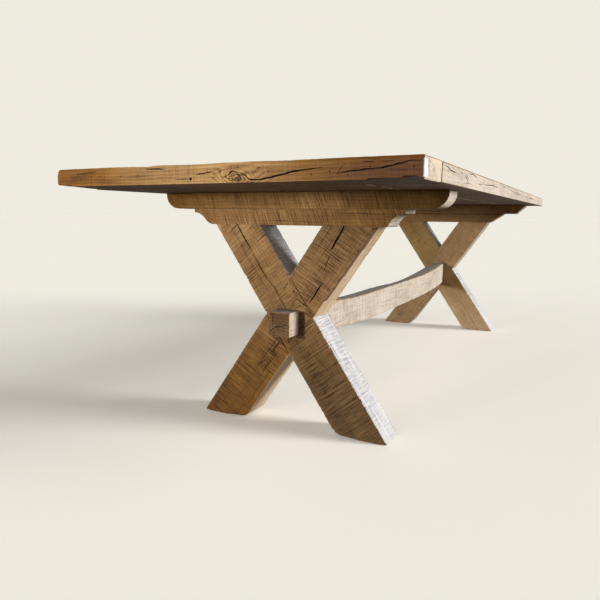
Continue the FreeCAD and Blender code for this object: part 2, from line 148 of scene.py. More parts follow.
class Graph:
    """The node tree of one material, with one method that makes any node."""

    def __init__(self, tree: bpy.types.NodeTree) -> None:
        """Start from an empty tree."""
        self.tree = tree
        tree.nodes.clear()

    def node(self, kind: str, settings: dict | None = None, inputs: dict | None = None) -> bpy.types.Node:
        """Add a node.

        Args:
            kind: The node's type name.
            settings: Attributes, set before the sockets.
            inputs: Values or links by socket name or index.

        Returns:
            The new node.
        """
        made = self.tree.nodes.new(kind)
        for name, value in (settings or {}).items():
            setattr(made, name, value)
        for name, value in (inputs or {}).items():
            socket = made.inputs[name]
            source = value.socket if isinstance(value, Field) else value
            if isinstance(source, bpy.types.NodeSocket):
                self.tree.links.new(source, socket)
            else:
                socket.default_value = source
        return made

    def maths(self, operation: str, *values: "Field | float") -> Field:
        """Add one Math node on up to three values."""
        node = self.node("ShaderNodeMath", {"operation": operation}, dict(enumerate(values)))
        return Field(self, node.outputs[0])

    def vector(self, operation: str, *values: object) -> bpy.types.NodeSocket:
        """Add one Vector Math node and return its vector output."""
        node = self.node("ShaderNodeVectorMath", {"operation": operation}, dict(enumerate(values)))
        return node.outputs["Vector"]

    def dot(self, first: object, second: object) -> Field:
        """The dot product of two vectors."""
        node = self.node("ShaderNodeVectorMath", {"operation": "DOT_PRODUCT"}, {0: first, 1: second})
        return Field(self, node.outputs["Value"])

    def length(self, first: object) -> Field:
        """The length of a vector."""
        node = self.node("ShaderNodeVectorMath", {"operation": "LENGTH"}, {0: first})
        return Field(self, node.outputs["Value"])

    def combine(self, x: object, y: object, z: object) -> bpy.types.NodeSocket:
        """One vector of three values."""
        return self.node("ShaderNodeCombineXYZ", None, {0: x, 1: y, 2: z}).outputs[0]

    def noise(self, place: object, scales: Point, detail: float = 3.0, rough: float = 0.55) -> Field:
        """Cloudy noise, 0 to 1, at its own scale along each axis.

        Args:
            place: The vector it reads.
            scales: Features per metre along the three axes.
            detail: Octaves.
            rough: How strong the finer octaves are.

        Returns:
            The noise.
        """
        node = self.node(
            "ShaderNodeTexNoise",
            {"noise_dimensions": "3D"},
            {
                "Vector": self.vector("MULTIPLY", place, tuple(scales)),
                "Scale": 1.0,
                "Detail": detail,
                "Roughness": rough,
            },
        )
        return Field(self, node.outputs[0])

    def cells(self, place: object, scales: Point, feature: str) -> bpy.types.Node:
        """A cell pattern at its own scale along each axis.

        Args:
            place: The vector it reads.
            scales: Cells per metre along the three axes.
            feature: What it measures, such as F1 or DISTANCE_TO_EDGE.

        Returns:
            The Voronoi node.
        """
        return self.node(
            "ShaderNodeTexVoronoi",
            {"voronoi_dimensions": "3D", "feature": feature},
            {"Vector": self.vector("MULTIPLY", place, tuple(scales)), "Scale": 1.0},
        )

    def attribute(self, name: str) -> Field:
        """A value that the mesh carries."""
        return Field(self, self.node("ShaderNodeAttribute", {"attribute_name": name}).outputs["Fac"])

    def mix(
        self, factor: object, first: object, second: object, blend: str = "MIX"
    ) -> bpy.types.NodeSocket:
        """Mix two colours by a factor and return the colour.

        Args:
            factor: How much of the second shows.
            first: Colour, as a value or a socket.
            second: Colour, as a value or a socket.
            blend: The node's blend type.

        Returns:
            The colour socket.
        """
        node = self.node("ShaderNodeMix", {"data_type": "RGBA", "blend_type": blend}, {0: factor})
        # A Mix node's colour sockets share their names with its other kinds, so they go by index
        for socket, value in ((node.inputs[6], first), (node.inputs[7], second)):
            if isinstance(value, bpy.types.NodeSocket):
                self.tree.links.new(value, socket)
            else:
                socket.default_value = value
        return node.outputs[2]


def tint(red: float, green: float, blue: float) -> Colour:
    """An opaque linear colour."""
    return (red, green, blue, 1.0)


def grey(level: float) -> Colour:
    """An even colour of one linear level."""
    return tint(level, level, level)


def three_tones(dark: Point, mid: Point, light: Point) -> dict[str, Colour]:
    """The three linear colours of one oak's grain."""
    return {"dark": tint(*dark), "mid": tint(*mid), "light": tint(*light)}


def scaled(tones: dict[str, Colour], factor: float) -> dict[str, Colour]:
    """The same colours, lighter or darker by one factor."""
    return {name: tint(*(level * factor for level in colour[:3])) for name, colour in tones.items()}


def new_material(name: str) -> tuple[bpy.types.Material, Graph]:
    """A new material and its empty graph."""
    material = bpy.data.materials.new(name)
    material.use_nodes = True
    return material, Graph(material.node_tree)


# --- Finishes --------------------------------------------------------------------------------


@dataclass(frozen=True)
class Knot:
    """A knot in a timber's face, with the grain flowing round it.

    Fields:
        place: Its centre on the table, in millimetres.
        core: Radius of its dark middle.
        flow: How far round it the grain bends.
    """

    place: Point
    core: float = 9.0
    flow: float = 26.0


@dataclass(frozen=True)
class Stain:
    """A patch of colour on a timber: a real smudge, painted shade, a painted shadow or a painted highlight.

    Fields:
        low: Its lowest corner on the table, in millimetres.
        high: Its highest corner.
        blur: How far its rim fades.
        depth: How strong it is, 0 to 1.
        colour: Its linear colour.
        blend: MULTIPLY darkens, for a smudge, painted shade or a painted shadow; MIX lays a pale colour
            over, for a painted highlight.
    """

    low: Point
    high: Point
    blur: float = 5.0
    depth: float = 0.8
    colour: Colour = tint(0.16, 0.13, 0.11)
    blend: str = "MULTIPLY"


@dataclass(frozen=True)
class Patterns:
    """What a point of an oak surface shows; its colour and relief are mixed from these.

    Fields:
        figure: Broad streaks along the grain.
        fibre: Fine streaks along it.
        pores: Open pores.
        rings: Year rings.
        blotch: Soft patches.
        grime: Dirt in the dull places.
        knot: How far inside a knot the point is.
        knot_ring: How far a knot has bent the rings.
        knot_lines: Fine dark lines round a set knot.
        saw: Saw marks, on both sides of 0.
        bands: Broad bands that the saw left.
        check: Thin splits along the grain.
        end_grain: How squarely the surface cuts the fibres.
        spokes: Rays in the end grain.
    """

    figure: Field
    fibre: Field
    pores: Field
    rings: Field
    blotch: Field
    grime: Field
    knot: Field
    knot_ring: Field
    knot_lines: Field
    saw: Field
    bands: Field
    check: Field
    end_grain: Field
    spokes: Field


@dataclass(frozen=True)
class AgedOak:
    """Old band-sawn oak: rings, fibre, pores, checks, saw marks, knots, grime and pale worn arrises.

    Fields:
        name: The material's name.
        grain: Direction of the fibres.
        face: Direction across the widest face, square to the grain.
        heart: A point that the pattern is centred on, in millimetres.
        seed: Shifts the pattern, so that no two timbers match.
        dark, mid, light: Linear colours of the grain.
        stripe: How much the streaks along the grain show, 0 to 1.
        sawn: How much the saw marks show, 0 to 1.
        saw_skew: How far the saw marks lean from square to the grain, as a slope.
        side_highlight: How strongly a painted highlight lightens the faces towards +Y and -Y, where the low
            window light grazes them.
        under_shade: How much painted shade darkens the underside.
        end_tone: Linear colour that the end grain is multiplied by.
        side_highlight_tone: Linear colour of the painted highlight on the sides.
        side_highlight_grain: Factor of the grey grain lines within that painted highlight.
        side_lines: How much those lines follow the saw marks and the fibres.
        side_from: How squarely a surface faces sideways where the painted highlight starts and is full.
        top_sky_tint: Linear colour that the faces towards +Z are multiplied by, as painted skylight.
        tone_axis: Direction that the tone stops lie along.
        tone_stops: Tone at set distances along that direction, as millimetres, factor and warmth.
        even_top: How far a level upper face is left out of that tone.
        sheen: Weight of the dusty sheen.
        gloss: Level of the plain reflection.
        checks: How many fine splits show, 0 to 1.
        polish: How smooth the top is, 0 to 1.
        knots: Knots at set places.
        knotty: How many further knots there are, 0 to 1.
    """

    name: str
    grain: Point
    face: Point
    heart: Point
    seed: float
    dark: Colour = tint(0.150, 0.072, 0.022)
    mid: Colour = tint(0.375, 0.208, 0.074)
    light: Colour = tint(0.570, 0.350, 0.148)
    stripe: float = 0.35
    sawn: float = 1.0
    saw_skew: float = 0.0
    side_highlight: float = 0.5
    under_shade: float = 0.0
    checks: float = 0.5
    polish: float = 0.0
    end_tone: Colour = tint(0.62, 0.50, 0.40)
    side_highlight_tone: Colour = tint(0.78, 0.73, 0.65)
    side_highlight_grain: Colour = tint(0.60, 0.58, 0.56)
    side_lines: tuple[float, float] = (1.4, 1.0)
    side_from: tuple[float, float] = (0.35, 0.80)
    top_sky_tint: Colour = tint(1.0, 1.0, 1.0)
    tone_axis: Point = (0.0, 1.0, 0.0)
    tone_stops: tuple[Point, ...] = ()
    even_top: float = 0.0
    stains: tuple[Stain, ...] = ()
    sheen: float = 0.10
    gloss: float = 0.25
    knots: tuple[Knot, ...] = ()
    knotty: float = 0.0

    RING_PITCH = 8.5
    SAW_PITCH = 9.5
    KNOT_LINE_PITCH = 4.8
    RELIEF = 1.2

    def _knot_flow(
        self, graph: Graph, place: object, along: Field, across: Field
    ) -> tuple[Field, Field, Field, Field]:
        """Bend the grain round the knots.

        Args:
            graph: The material's graph.
            place: Position on the table.
            along: Distance along the grain.
            across: Distance across it.

        Returns:
            The bent distance across, how far inside a knot the point is, the ring distance there and
            the fine dark lines round a set knot.
        """
        inside = rings = lines = graph.maths("ADD", 0.0, 0.0)
        line_turn = math.tau / (self.KNOT_LINE_PITCH * MM)
        for knot in self.knots:
            away = graph.vector("SUBTRACT", place, tuple(c * MM for c in knot.place))
            run = graph.dot(away, tuple(self.grain))
            rise = graph.dot(away, tuple(self.face))
            far = graph.maths("SQRT", run * run * 0.30 + rise * rise)
            near = far.ramp(0.0, knot.flow * MM, 1.0, 0.0)
            across = across - rise * near * 0.85
            waver = graph.noise(away, (60.0, 60.0, 60.0), 2.0)
            lines = lines + graph.maths("SINE", (far + waver * 0.008) * line_turn) * near * near
            inside = inside + far.ramp(knot.core * MM * 0.55, knot.core * MM * 1.2, 1.0, 0.0)
            rings = rings + near * far
        if self.knotty > 0.0:
            flat = graph.combine(along + self.seed, across, self.seed)
            scales = (2.6, 6.0, 1.0)
            cell = graph.cells(flat, scales, "F1")
            centre = graph.vector("DIVIDE", cell.outputs["Position"], scales)
            away = graph.vector("SUBTRACT", flat, centre)
            run = graph.dot(away, (1.0, 0.0, 0.0))
            rise = graph.dot(away, (0.0, 1.0, 0.0))
            far = graph.maths("SQRT", run * run * 0.35 + rise * rise)
            draw = graph.dot(cell.outputs["Color"], (1.0, 0.0, 0.0))
            lot = draw.ramp(1.0 - self.knotty, 1.01 - self.knotty)
            near = far.ramp(0.0, 0.055, 1.0, 0.0) * lot
            across = across - rise * near * 0.8
            inside = inside + far.ramp(0.006, 0.014, 1.0, 0.0) * lot
            rings = rings + near * far
        return across, inside, rings, lines

    def _tone_along(self, graph: Graph, place: object) -> bpy.types.NodeSocket:
        """Colour factors that change along the tone's axis by its stops."""
        along_axis = graph.dot(place, tuple(self.tone_axis))
        first, last = self.tone_stops[0][0] * MM, self.tone_stops[-1][0] * MM
        share = graph.node(
            "ShaderNodeMapRange", None, {"Value": along_axis, "From Min": first, "From Max": last}
        ).outputs["Result"]
        ramp = graph.node("ShaderNodeValToRGB", None, {0: share})
        stops = ramp.color_ramp.elements
        while len(stops) < len(self.tone_stops):
            stops.new(0.5)
        for index, (distance, factor, warmth) in enumerate(self.tone_stops):
            stops[index].position = (distance * MM - first) / (last - first)
            green, blue = factor ** (1.0 + 0.38 * warmth), factor ** (1.0 + 1.8 * warmth)
            stops[index].color = tint(factor, green, blue)
        return ramp.outputs[0]

    @staticmethod
    def _stain_mask(graph: Graph, place: object, stain: Stain, fray: Field) -> Field:
        """Where one patch lies.

        Args:
            graph: The material's graph.
            place: Position on the table.
            stain: The patch.
            fray: Noise that breaks its rim.

        Returns:
            Its strength, 0 to 1.
        """
        mask: Field | float = stain.depth
        for axis, low, high in zip(((1, 0, 0), (0, 1, 0), (0, 0, 1)), stain.low, stain.high):
            middle, half = (low + high) / 2 * MM, abs(high - low) / 2 * MM
            gap = abs(graph.dot(place, axis) - middle) + (fray - 0.5) * (stain.blur * MM)
            mask = gap.ramp(half - stain.blur * MM / 2, half + stain.blur * MM / 2, 1.0, 0.0) * mask
        return mask

    def _saw_marks(
        self, graph: Graph, plain: object, along: Field, across: Field, deep: Field
    ) -> tuple[Field, Field]:
        """Lay saw marks across the grain at a nearly even pitch, in patches.

        Args:
            graph: The material's graph.
            plain: Position along, across and into the timber.
            along: Distance along the grain.
            across: Distance across it, bent round the knots.
            deep: Distance into the timber.

        Returns:
            The marks and the broad bands among them.
        """
        lean = along + across * self.saw_skew
        stroke_place = graph.combine(lean + self.seed, across, deep)
        jitter = graph.noise(stroke_place, (30.0, 3.0, 3.0), 2.0)
        teeth = graph.maths("SINE", (lean + jitter * 0.030) * (math.tau / (self.SAW_PITCH * MM)))
        strokes = graph.noise(stroke_place, (150.0, 6.0, 6.0), 2.0, 0.6)
        scratches = graph.noise(stroke_place, (420.0, 26.0, 26.0), 2.0, 0.5)
        bands = graph.noise(stroke_place, (26.0, 2.2, 2.2), 1.0, 0.5)
        patch = graph.noise(plain, (6.0, 12.0, 12.0), 2.0).ramp(0.34, 0.60, 0.45, 1.0)
        return (teeth * 0.040 + (strokes - 0.5) * 0.34 + (scratches - 0.5) * 0.66) * patch, bands

    def _fine_splits(self, graph: Graph, plain: object, across: Field, deep: Field) -> Field:
        """Lay thin splits that keep to the grain.

        Args:
            graph: The material's graph.
            plain: Position along, across and into the timber.
            across: Distance across the grain, bent round the knots.
            deep: Distance into the timber.

        Returns:
            How far inside a split the point is.
        """
        wander = graph.noise(plain, (3.0, 8.0, 8.0), 2.0)
        lane = graph.maths("FRACT", across * 46.0 + deep * 37.0 + wander * 1.6)
        crack_here = graph.noise(plain, (3.5, 30.0, 30.0), 2.0).ramp(0.62 - 0.08 * self.checks, 0.68)
        return abs(lane - 0.5).ramp(0.0, 0.045, 1.0, 0.0) * crack_here

    def _patterns(self, graph: Graph, place: object, normal: object) -> Patterns:
        """Lay out every pattern of the wood.

        Args:
            graph: The material's graph.
            place: Position on the table.
            normal: The surface's normal.

        Returns:
            The patterns.
        """
        grain, face = Vector(self.grain).normalized(), Vector(self.face).normalized()
        away = graph.vector("SUBTRACT", place, tuple(c * MM for c in self.heart))
        along = graph.dot(away, tuple(grain))
        across = graph.dot(away, tuple(face))
        deep = graph.dot(away, tuple(grain.cross(face)))
        plain = graph.combine(along + self.seed, across, deep)

        # The grain wanders a little, and flows round the knots
        drift = graph.noise(plain, (1.6, 5.0, 5.0), 2.0) - 0.5
        across, knot, knot_ring, knot_lines = self._knot_flow(graph, place, along, across + drift * 0.030)
        flowing = graph.combine(along + self.seed, across, deep + drift * 0.02)
        pith = graph.combine(0.0, across + 0.19, deep + 0.07 + along * 0.05)
        radius = graph.length(pith) + knot_ring * 1.4
        wobble = graph.noise(flowing, (1.5, 12.0, 12.0), 2.0)
        ring_turn = math.tau / (self.RING_PITCH * MM)
        saw, bands = self._saw_marks(graph, plain, along, across, deep)
        return Patterns(
            figure=graph.noise(flowing, (1.1, 26.0, 26.0), 6.0, 0.62),
            fibre=graph.noise(flowing, (7.0, 260.0, 260.0), 4.0, 0.6),
            pores=graph.noise(flowing, (28.0, 620.0, 620.0), 2.0).ramp(0.56, 0.68),
            rings=graph.maths("SINE", (radius + wobble * 0.012) * ring_turn) * 0.5 + 0.5,
            blotch=graph.noise(plain, (4.0, 7.0, 7.0), 3.0),
            grime=graph.noise(plain, (2.2, 3.0, 3.0), 3.0).ramp(0.52, 0.78),
            knot=knot,
            knot_ring=knot_ring,
            knot_lines=knot_lines,
            saw=saw,
            bands=bands,
            check=self._fine_splits(graph, plain, across, deep),
            end_grain=abs(graph.dot(normal, tuple(grain))).ramp(0.72, 0.93),
            spokes=graph.noise(plain, (9.0, 120.0, 120.0), 3.0).ramp(0.60, 0.68),
        )

    def _fresh_colour(self, graph: Graph, wood: Patterns, edge: Field) -> bpy.types.NodeSocket:
        """Colour the wood by its grain, saw marks, pores, grime and pale arrises.

        Args:
            graph: The material's graph.
            wood: Its patterns.
            edge: How near a worn arris the point is.

        Returns:
            The colour.
        """
        tone = (
            (wood.figure - 0.5) * self.stripe * 1.5
            + (wood.fibre - 0.5) * 0.35
            + (wood.rings - 0.5) * 0.22 * self.stripe
            + (wood.rings - 0.5) * wood.knot_ring * 16.0
            + wood.knot_lines * 0.34
            + (wood.blotch - 0.5) * 0.40
            + (wood.bands - 0.5) * 0.45 * self.sawn
            + wood.saw * 2.2 * self.sawn
        )
        colour = graph.mix(tone.ramp(-0.30, 0.02), self.dark, self.mid)
        colour = graph.mix(tone.ramp(0.0, 0.34), colour, self.light)
        deepest = wood.saw.ramp(-0.05, -0.16) * (0.42 * self.sawn)
        colour = graph.mix(deepest, colour, tint(0.40, 0.33, 0.25), "MULTIPLY")
        colour = graph.mix(wood.pores * 0.40, colour, tint(0.42, 0.34, 0.26), "MULTIPLY")
        colour = graph.mix(wood.grime * 0.35, colour, tint(0.56, 0.47, 0.38), "MULTIPLY")
        return graph.mix(edge * 0.22, colour, self.light)

    def _aged_colour(
        self, graph: Graph, place: object, normal: object, wood: Patterns
    ) -> bpy.types.NodeSocket:
        """Colour the wood and darken its end grain and fine splits; paint highlights on its sides, skylight
        on its upper faces, shade on its underside and inside its cut splits, and lay its patches.

        Args:
            graph: The material's graph.
            place: Position on the table.
            normal: The surface's normal.
            wood: Its patterns.

        Returns:
            The colour.
        """
        under = graph.dot(normal, (0.0, 0.0, -1.0)).ramp(0.35, 0.8)
        up = graph.dot(normal, (0.0, 0.0, 1.0))
        side = abs(graph.dot(normal, (0.0, 1.0, 0.0))).ramp(*self.side_from)
        inward = 1.0 - side * min(1.0, self.side_highlight * 2.0)
        colour = self._fresh_colour(graph, wood, graph.attribute("arris") * (1.0 - under))
        if self.tone_stops:
            toned = inward * (1.0 - up.ramp(0.93, 0.99) * self.even_top)
            colour = graph.mix(toned, colour, self._tone_along(graph, place), "MULTIPLY")
        by_saw, by_fibre = self.side_lines
        lines = wood.saw * by_saw + (wood.fibre - 0.5) * by_fibre + (wood.blotch - 0.5) * 0.6
        # Painted highlight: the faces towards -Y and +Y alike are lightened towards a pale tone, with grey
        # grain lines in it, standing in for the low window light that grazes the faces towards -Y.
        side_highlight_colour = graph.mix(lines.ramp(-0.22, 0.12, 1.0, 0.0), self.side_highlight_tone, self.side_highlight_grain, "MULTIPLY")
        colour = graph.mix(side * self.side_highlight, colour, side_highlight_colour)
        colour = graph.mix(wood.knot * 0.75, colour, tint(0.075, 0.036, 0.016))
        cut_ends = wood.end_grain * inward * (wood.rings * 0.3 + 0.7)
        colour = graph.mix(cut_ends, colour, self.end_tone, "MULTIPLY")
        rays = wood.end_grain * wood.spokes * 0.6 * inward
        colour = graph.mix(rays, colour, tint(0.2, 0.15, 0.12), "MULTIPLY")
        colour = graph.mix(wood.check * 0.9, colour, tint(0.030, 0.017, 0.010))
        # Painted shade: the underside is darkened, as little light reaches it.
        colour = graph.mix(under * self.under_shade, colour, tint(0.24, 0.18, 0.16), "MULTIPLY")
        # Painted skylight: the faces towards +Z are tinted by the top colour.
        colour = graph.mix(up.ramp(0.75, 0.95), colour, self.top_sky_tint, "MULTIPLY")
        # The patches include painted shade, painted shadows and a painted highlight as well as smudges.
        for stain in self.stains:
            mask = self._stain_mask(graph, place, stain, wood.blotch)
            colour = graph.mix(mask, colour, stain.colour, stain.blend)
        # Painted shade: the faces inside the cut splits and worm holes are coloured nearly black.
        return graph.mix(graph.attribute("split"), colour, tint(0.016, 0.009, 0.006))

    def _relief(self, wood: Patterns) -> Field:
        """How high the surface stands, in parts of the relief's depth."""
        return (
            wood.fibre * 0.30
            + wood.figure * (0.9 * self.stripe)
            - wood.pores * 0.22
            + wood.rings * 0.08
            + wood.saw * (2.3 * self.sawn)
            + wood.bands * (0.2 * self.sawn)
            - wood.check * 1.8
            - wood.knot * 0.3
            + wood.knot_lines * 0.5
            - wood.end_grain * wood.spokes * 1.2
        )

    def make(self) -> bpy.types.Material:
        """Build the material.

        Returns:
            The material, ready for a piece's slot.
        """
        material, graph = new_material(self.name)
        place = graph.node("ShaderNodeTexCoord").outputs["Object"]
        normal = graph.node("ShaderNodeNewGeometry").outputs["Normal"]
        wood = self._patterns(graph, place, normal)
        strength = 1.0 - 0.45 * self.polish
        bump = graph.node(
            "ShaderNodeBump",
            None,
            {"Strength": strength, "Distance": self.RELIEF * MM, "Height": self._relief(wood)},
        )
        rough = wood.figure * 0.2 + wood.pores * 0.1 + wood.grime * 0.08 + (0.58 - 0.18 * self.polish)
        shader = graph.node(
            "ShaderNodeBsdfPrincipled",
            None,
            {
                "Base Color": self._aged_colour(graph, place, normal, wood),
                "Roughness": rough,
                "Normal": bump.outputs["Normal"],
                "IOR": 1.45,
                "Specular IOR Level": self.gloss,
                "Sheen Weight": self.sheen,
                "Sheen Roughness": 0.45,
                "Sheen Tint": tint(1.0, 0.95, 0.88),
            },
        )
        graph.node("ShaderNodeOutputMaterial", None, {"Surface": shader.outputs["BSDF"]})
        return material


@dataclass(frozen=True)
class ScrewSteel:
    """Zinc-plated screw steel, dulled and lightly stained."""

    name: str = "dull_screw_steel"
    colour: Colour = tint(0.40, 0.39, 0.37)

    def make(self) -> bpy.types.Material:
        """Build the material."""
        material, graph = new_material(self.name)
        place = graph.node("ShaderNodeTexCoord").outputs["Object"]
        stain = graph.noise(place, (90.0, 90.0, 90.0), 4.0)
        scratch = graph.noise(place, (900.0, 300.0, 900.0), 2.0)
        colour = graph.mix(stain.ramp(0.48, 0.66), self.colour, tint(0.16, 0.10, 0.06))
        bump = graph.node("ShaderNodeBump", None, {"Strength": 0.5, "Distance": 0.0002, "Height": scratch})
        shader = graph.node(
            "ShaderNodeBsdfPrincipled",
            None,
            {
                "Base Color": colour,
                "Metallic": stain.ramp(0.55, 0.7, 1.0, 0.5),
                "Roughness": scratch * 0.2 + 0.35,
                "Normal": bump.outputs["Normal"],
            },
        )
        graph.node("ShaderNodeOutputMaterial", None, {"Surface": shader.outputs["BSDF"]})
        return material


# --- Workshop: the operators that shape a timber ----------------------------------------------


def alone(piece: bpy.types.Object) -> None:
    """Select one piece and nothing else."""
    bpy.ops.object.select_all(action="DESELECT")
    piece.select_set(True)
    bpy.context.view_layer.objects.active = piece


@contextmanager
def editing(piece: bpy.types.Object, kind: str) -> Iterator[bmesh.types.BMesh]:
    """Edit one piece with nothing selected.

    Args:
        piece: The piece.
        kind: What is picked: VERT, EDGE or FACE.

    Yields:
        The mesh in edit mode.
    """
    alone(piece)
    bpy.ops.object.mode_set(mode="EDIT")
    bpy.ops.mesh.select_mode(type=kind)
    bpy.ops.mesh.select_all(action="DESELECT")
    yield bmesh.from_edit_mesh(piece.data)
    bpy.ops.object.mode_set(mode="OBJECT")


def millimetres(place: Vector) -> Vector:
    """A mesh point in millimetres."""
    return place / MM


def add_block(name: str, low: Point, high: Point) -> bpy.types.Object:
    """Saw a plain block to size.

    Args:
        name: The object's name.
        low: Lowest corner.
        high: Highest corner.

    Returns:
        The block, at the origin, its place in its mesh.
    """
    bpy.ops.object.select_all(action="DESELECT")
    start, stop = Vector(low) * MM, Vector(high) * MM
    bpy.ops.mesh.primitive_cube_add(size=1.0, location=(start + stop) / 2, scale=stop - start)
    piece = bpy.context.object
    piece.name = name
    piece.data.name = name
    bpy.ops.object.transform_apply(location=True, rotation=True, scale=True)
    return piece


def add_rod(
    name: str, centre: Point, radius: float, length: float, axis: Axis, sides: int
) -> bpy.types.Object:
    """Turn a round rod.

    Args:
        name: The object's name.
        centre: Its middle.
        radius: Its radius.
        length: Its length.
        axis: The direction it lies in.
        sides: Flats round it.

    Returns:
        The rod, at the origin, its place in its mesh.
    """
    bpy.ops.object.select_all(action="DESELECT")
    turn = {Axis.X: (0.0, math.pi / 2, 0.0), Axis.Y: (math.pi / 2, 0.0, 0.0), Axis.Z: (0.0, 0.0, 0.0)}
    bpy.ops.mesh.primitive_cylinder_add(
        vertices=sides,
        radius=radius * MM,
        depth=length * MM,
        location=Vector(centre) * MM,
        rotation=turn[axis],
    )
    piece = bpy.context.object
    piece.name = name
    bpy.ops.object.transform_apply(location=True, rotation=True, scale=True)
    return piece


def shift(piece: bpy.types.Object, chosen: PlaceTest, step: Point) -> None:
    """Move the vertices at a place.

    Args:
        piece: The piece.
        chosen: Says by its place whether a vertex moves.
        step: How far they move.
    """
    with editing(piece, "VERT") as mesh:
        for vertex in mesh.verts:
            vertex.select_set(chosen(millimetres(vertex.co)))
        mesh.select_flush_mode()
        bmesh.update_edit_mesh(piece.data)
        bpy.ops.transform.translate(value=Vector(step) * MM)


def slice_at(piece: bpy.types.Object, axis: Axis, stations: Sequence[float]) -> None:
    """Mark cross sections through a piece.

    Args:
        piece: The piece.
        axis: The direction that the sections are square to.
        stations: Where they lie.
    """
    square = Vector([float(axis is other) for other in Axis])
    with editing(piece, "EDGE"):
        for station in stations:
            bpy.ops.mesh.select_all(action="SELECT")
            bpy.ops.mesh.bisect(plane_co=square * station * MM, plane_no=square)


def stands_at(place: Vector, spot: Point, within: Point) -> bool:
    """Tell a point that lies at a spot, within a margin along each axis."""
    return all(abs(a - b) < margin for a, b, margin in zip(place, spot, within))


def ease(piece: bpy.types.Object, chosen: EdgeTest, width: float, segments: int) -> None:
    """Round or bevel the edges at a place.

    Args:
        piece: The piece.
        chosen: Says by its two ends whether an edge is eased.
        width: Width of the bevel.
        segments: Facets across it.
    """
    with editing(piece, "EDGE") as mesh:
        for edge in mesh.edges:
            edge.select_set(chosen(millimetres(edge.verts[0].co), millimetres(edge.verts[1].co)))
        bmesh.update_edit_mesh(piece.data)
        bpy.ops.mesh.bevel(offset=width * MM, segments=segments, affect="EDGES")


def split_lengthwise(piece: bpy.types.Object, axis: Axis, shortest: float, cuts: int) -> None:
    """Divide the edges that run along an axis.

    Args:
        piece: The piece.
        axis: Their direction.
        shortest: Shorter edges are left.
        cuts: Cuts in each edge.
    """
    with editing(piece, "EDGE") as mesh:
        for edge in mesh.edges:
            run = millimetres(edge.verts[1].co - edge.verts[0].co)
            edge.select_set(run.length > shortest and abs(run[axis.value]) > 0.98 * run.length)
        bmesh.update_edit_mesh(piece.data)
        bpy.ops.mesh.subdivide(number_cuts=cuts)


def apply_modifier(piece: bpy.types.Object, kind: str, **settings: object) -> None:
    """Add a modifier, set it and apply it.

    Args:
        piece: The piece.
        kind: The modifier's type.
        settings: Its attributes.
    """
    alone(piece)
    modifier = piece.modifiers.new(kind.lower(), kind)
    for name, value in settings.items():
        setattr(modifier, name, value)
    bpy.ops.object.modifier_apply(modifier=modifier.name)


def combine_solids(piece: bpy.types.Object, tool: bpy.types.Object, operation: str) -> None:
    """Cut one solid with another and throw the tool away.

    Args:
        piece: The piece that changes.
        tool: The other solid.
        operation: DIFFERENCE or INTERSECT.
    """
    apply_modifier(piece, "BOOLEAN", operation=operation, solver="MANIFOLD", object=tool)
    bpy.data.objects.remove(tool)


def copy_solid(piece: bpy.types.Object, name: str) -> bpy.types.Object:
    """Copy a piece with its own mesh."""
    twin = piece.copy()
    twin.data = piece.data.copy()
    twin.name = name
    bpy.context.scene.collection.objects.link(twin)
    return twin


def join_solids(pieces: Sequence[bpy.types.Object]) -> bpy.types.Object:
    """Join pieces into the first one."""
    bpy.ops.object.select_all(action="DESELECT")
    for piece in pieces:
        piece.select_set(True)
    bpy.context.view_layer.objects.active = pieces[0]
    bpy.ops.object.join()
    return pieces[0]


def places(piece: bpy.types.Object) -> np.ndarray:
    """Every vertex of a piece, in millimetres."""
    flat = np.empty(len(piece.data.vertices) * 3)
    piece.data.vertices.foreach_get("co", flat)
    return flat.reshape(-1, 3) / MM


def sharp_edges(piece: bpy.types.Object, least: float = math.radians(35)) -> np.ndarray:
    """The ends of every sharp edge of a piece, in millimetres, as an N x 2 x 3 array."""
    mesh = bmesh.new()
    mesh.from_mesh(piece.data)
    found = [
        [tuple(millimetres(vertex.co)) for vertex in edge.verts]
        for edge in mesh.edges
        if edge.is_manifold and edge.calc_face_angle(0.0) > least
    ]
    mesh.free()
    return np.array(found)


def distance_to_edges(points: np.ndarray, edges: np.ndarray) -> np.ndarray:
    """How far each point is from the nearest edge.

    Args:
        points: N x 3 points.
        edges: M x 2 x 3 edge ends.

    Returns:
        N distances.
    """
    best = np.full(len(points), np.inf)
    for start, stop in edges:
        run = stop - start
        share = np.clip((points - start) @ run / max(run @ run, 1e-9), 0.0, 1.0)
        best = np.minimum(best, np.linalg.norm(points - start - share[:, None] * run, axis=1))
    return best


def set_weights(piece: bpy.types.Object, name: str, weights: np.ndarray, steps: int = 24) -> None:
    """Write a vertex group.

    Args:
        piece: The piece.
        name: The group's name.
        weights: A weight for each vertex, 0 to 1.
        steps: Levels that the weights are rounded to.
    """
    group = piece.vertex_groups.new(name=name)
    levels = np.rint(weights * steps).astype(int)
    for level in range(1, steps + 1):
        members = np.flatnonzero(levels == level)
        if len(members):
            group.add(members.tolist(), level / steps, "REPLACE")


def set_attribute(piece: bpy.types.Object, name: str, values: np.ndarray) -> None:
    """Write a float attribute on the vertices."""
    layer = piece.data.attributes.new(name, "FLOAT", "POINT")
    layer.data.foreach_set("value", values.astype(np.float32))


def mark_faces(piece: bpy.types.Object, value: float) -> None:
    """Say on every face how far it lies inside a split: 1 on a cutting tool, 0 on a timber."""
    layer = piece.data.attributes.new("split", "FLOAT", "FACE")
    layer.data.foreach_set("value", np.full(len(layer.data), value, np.float32))


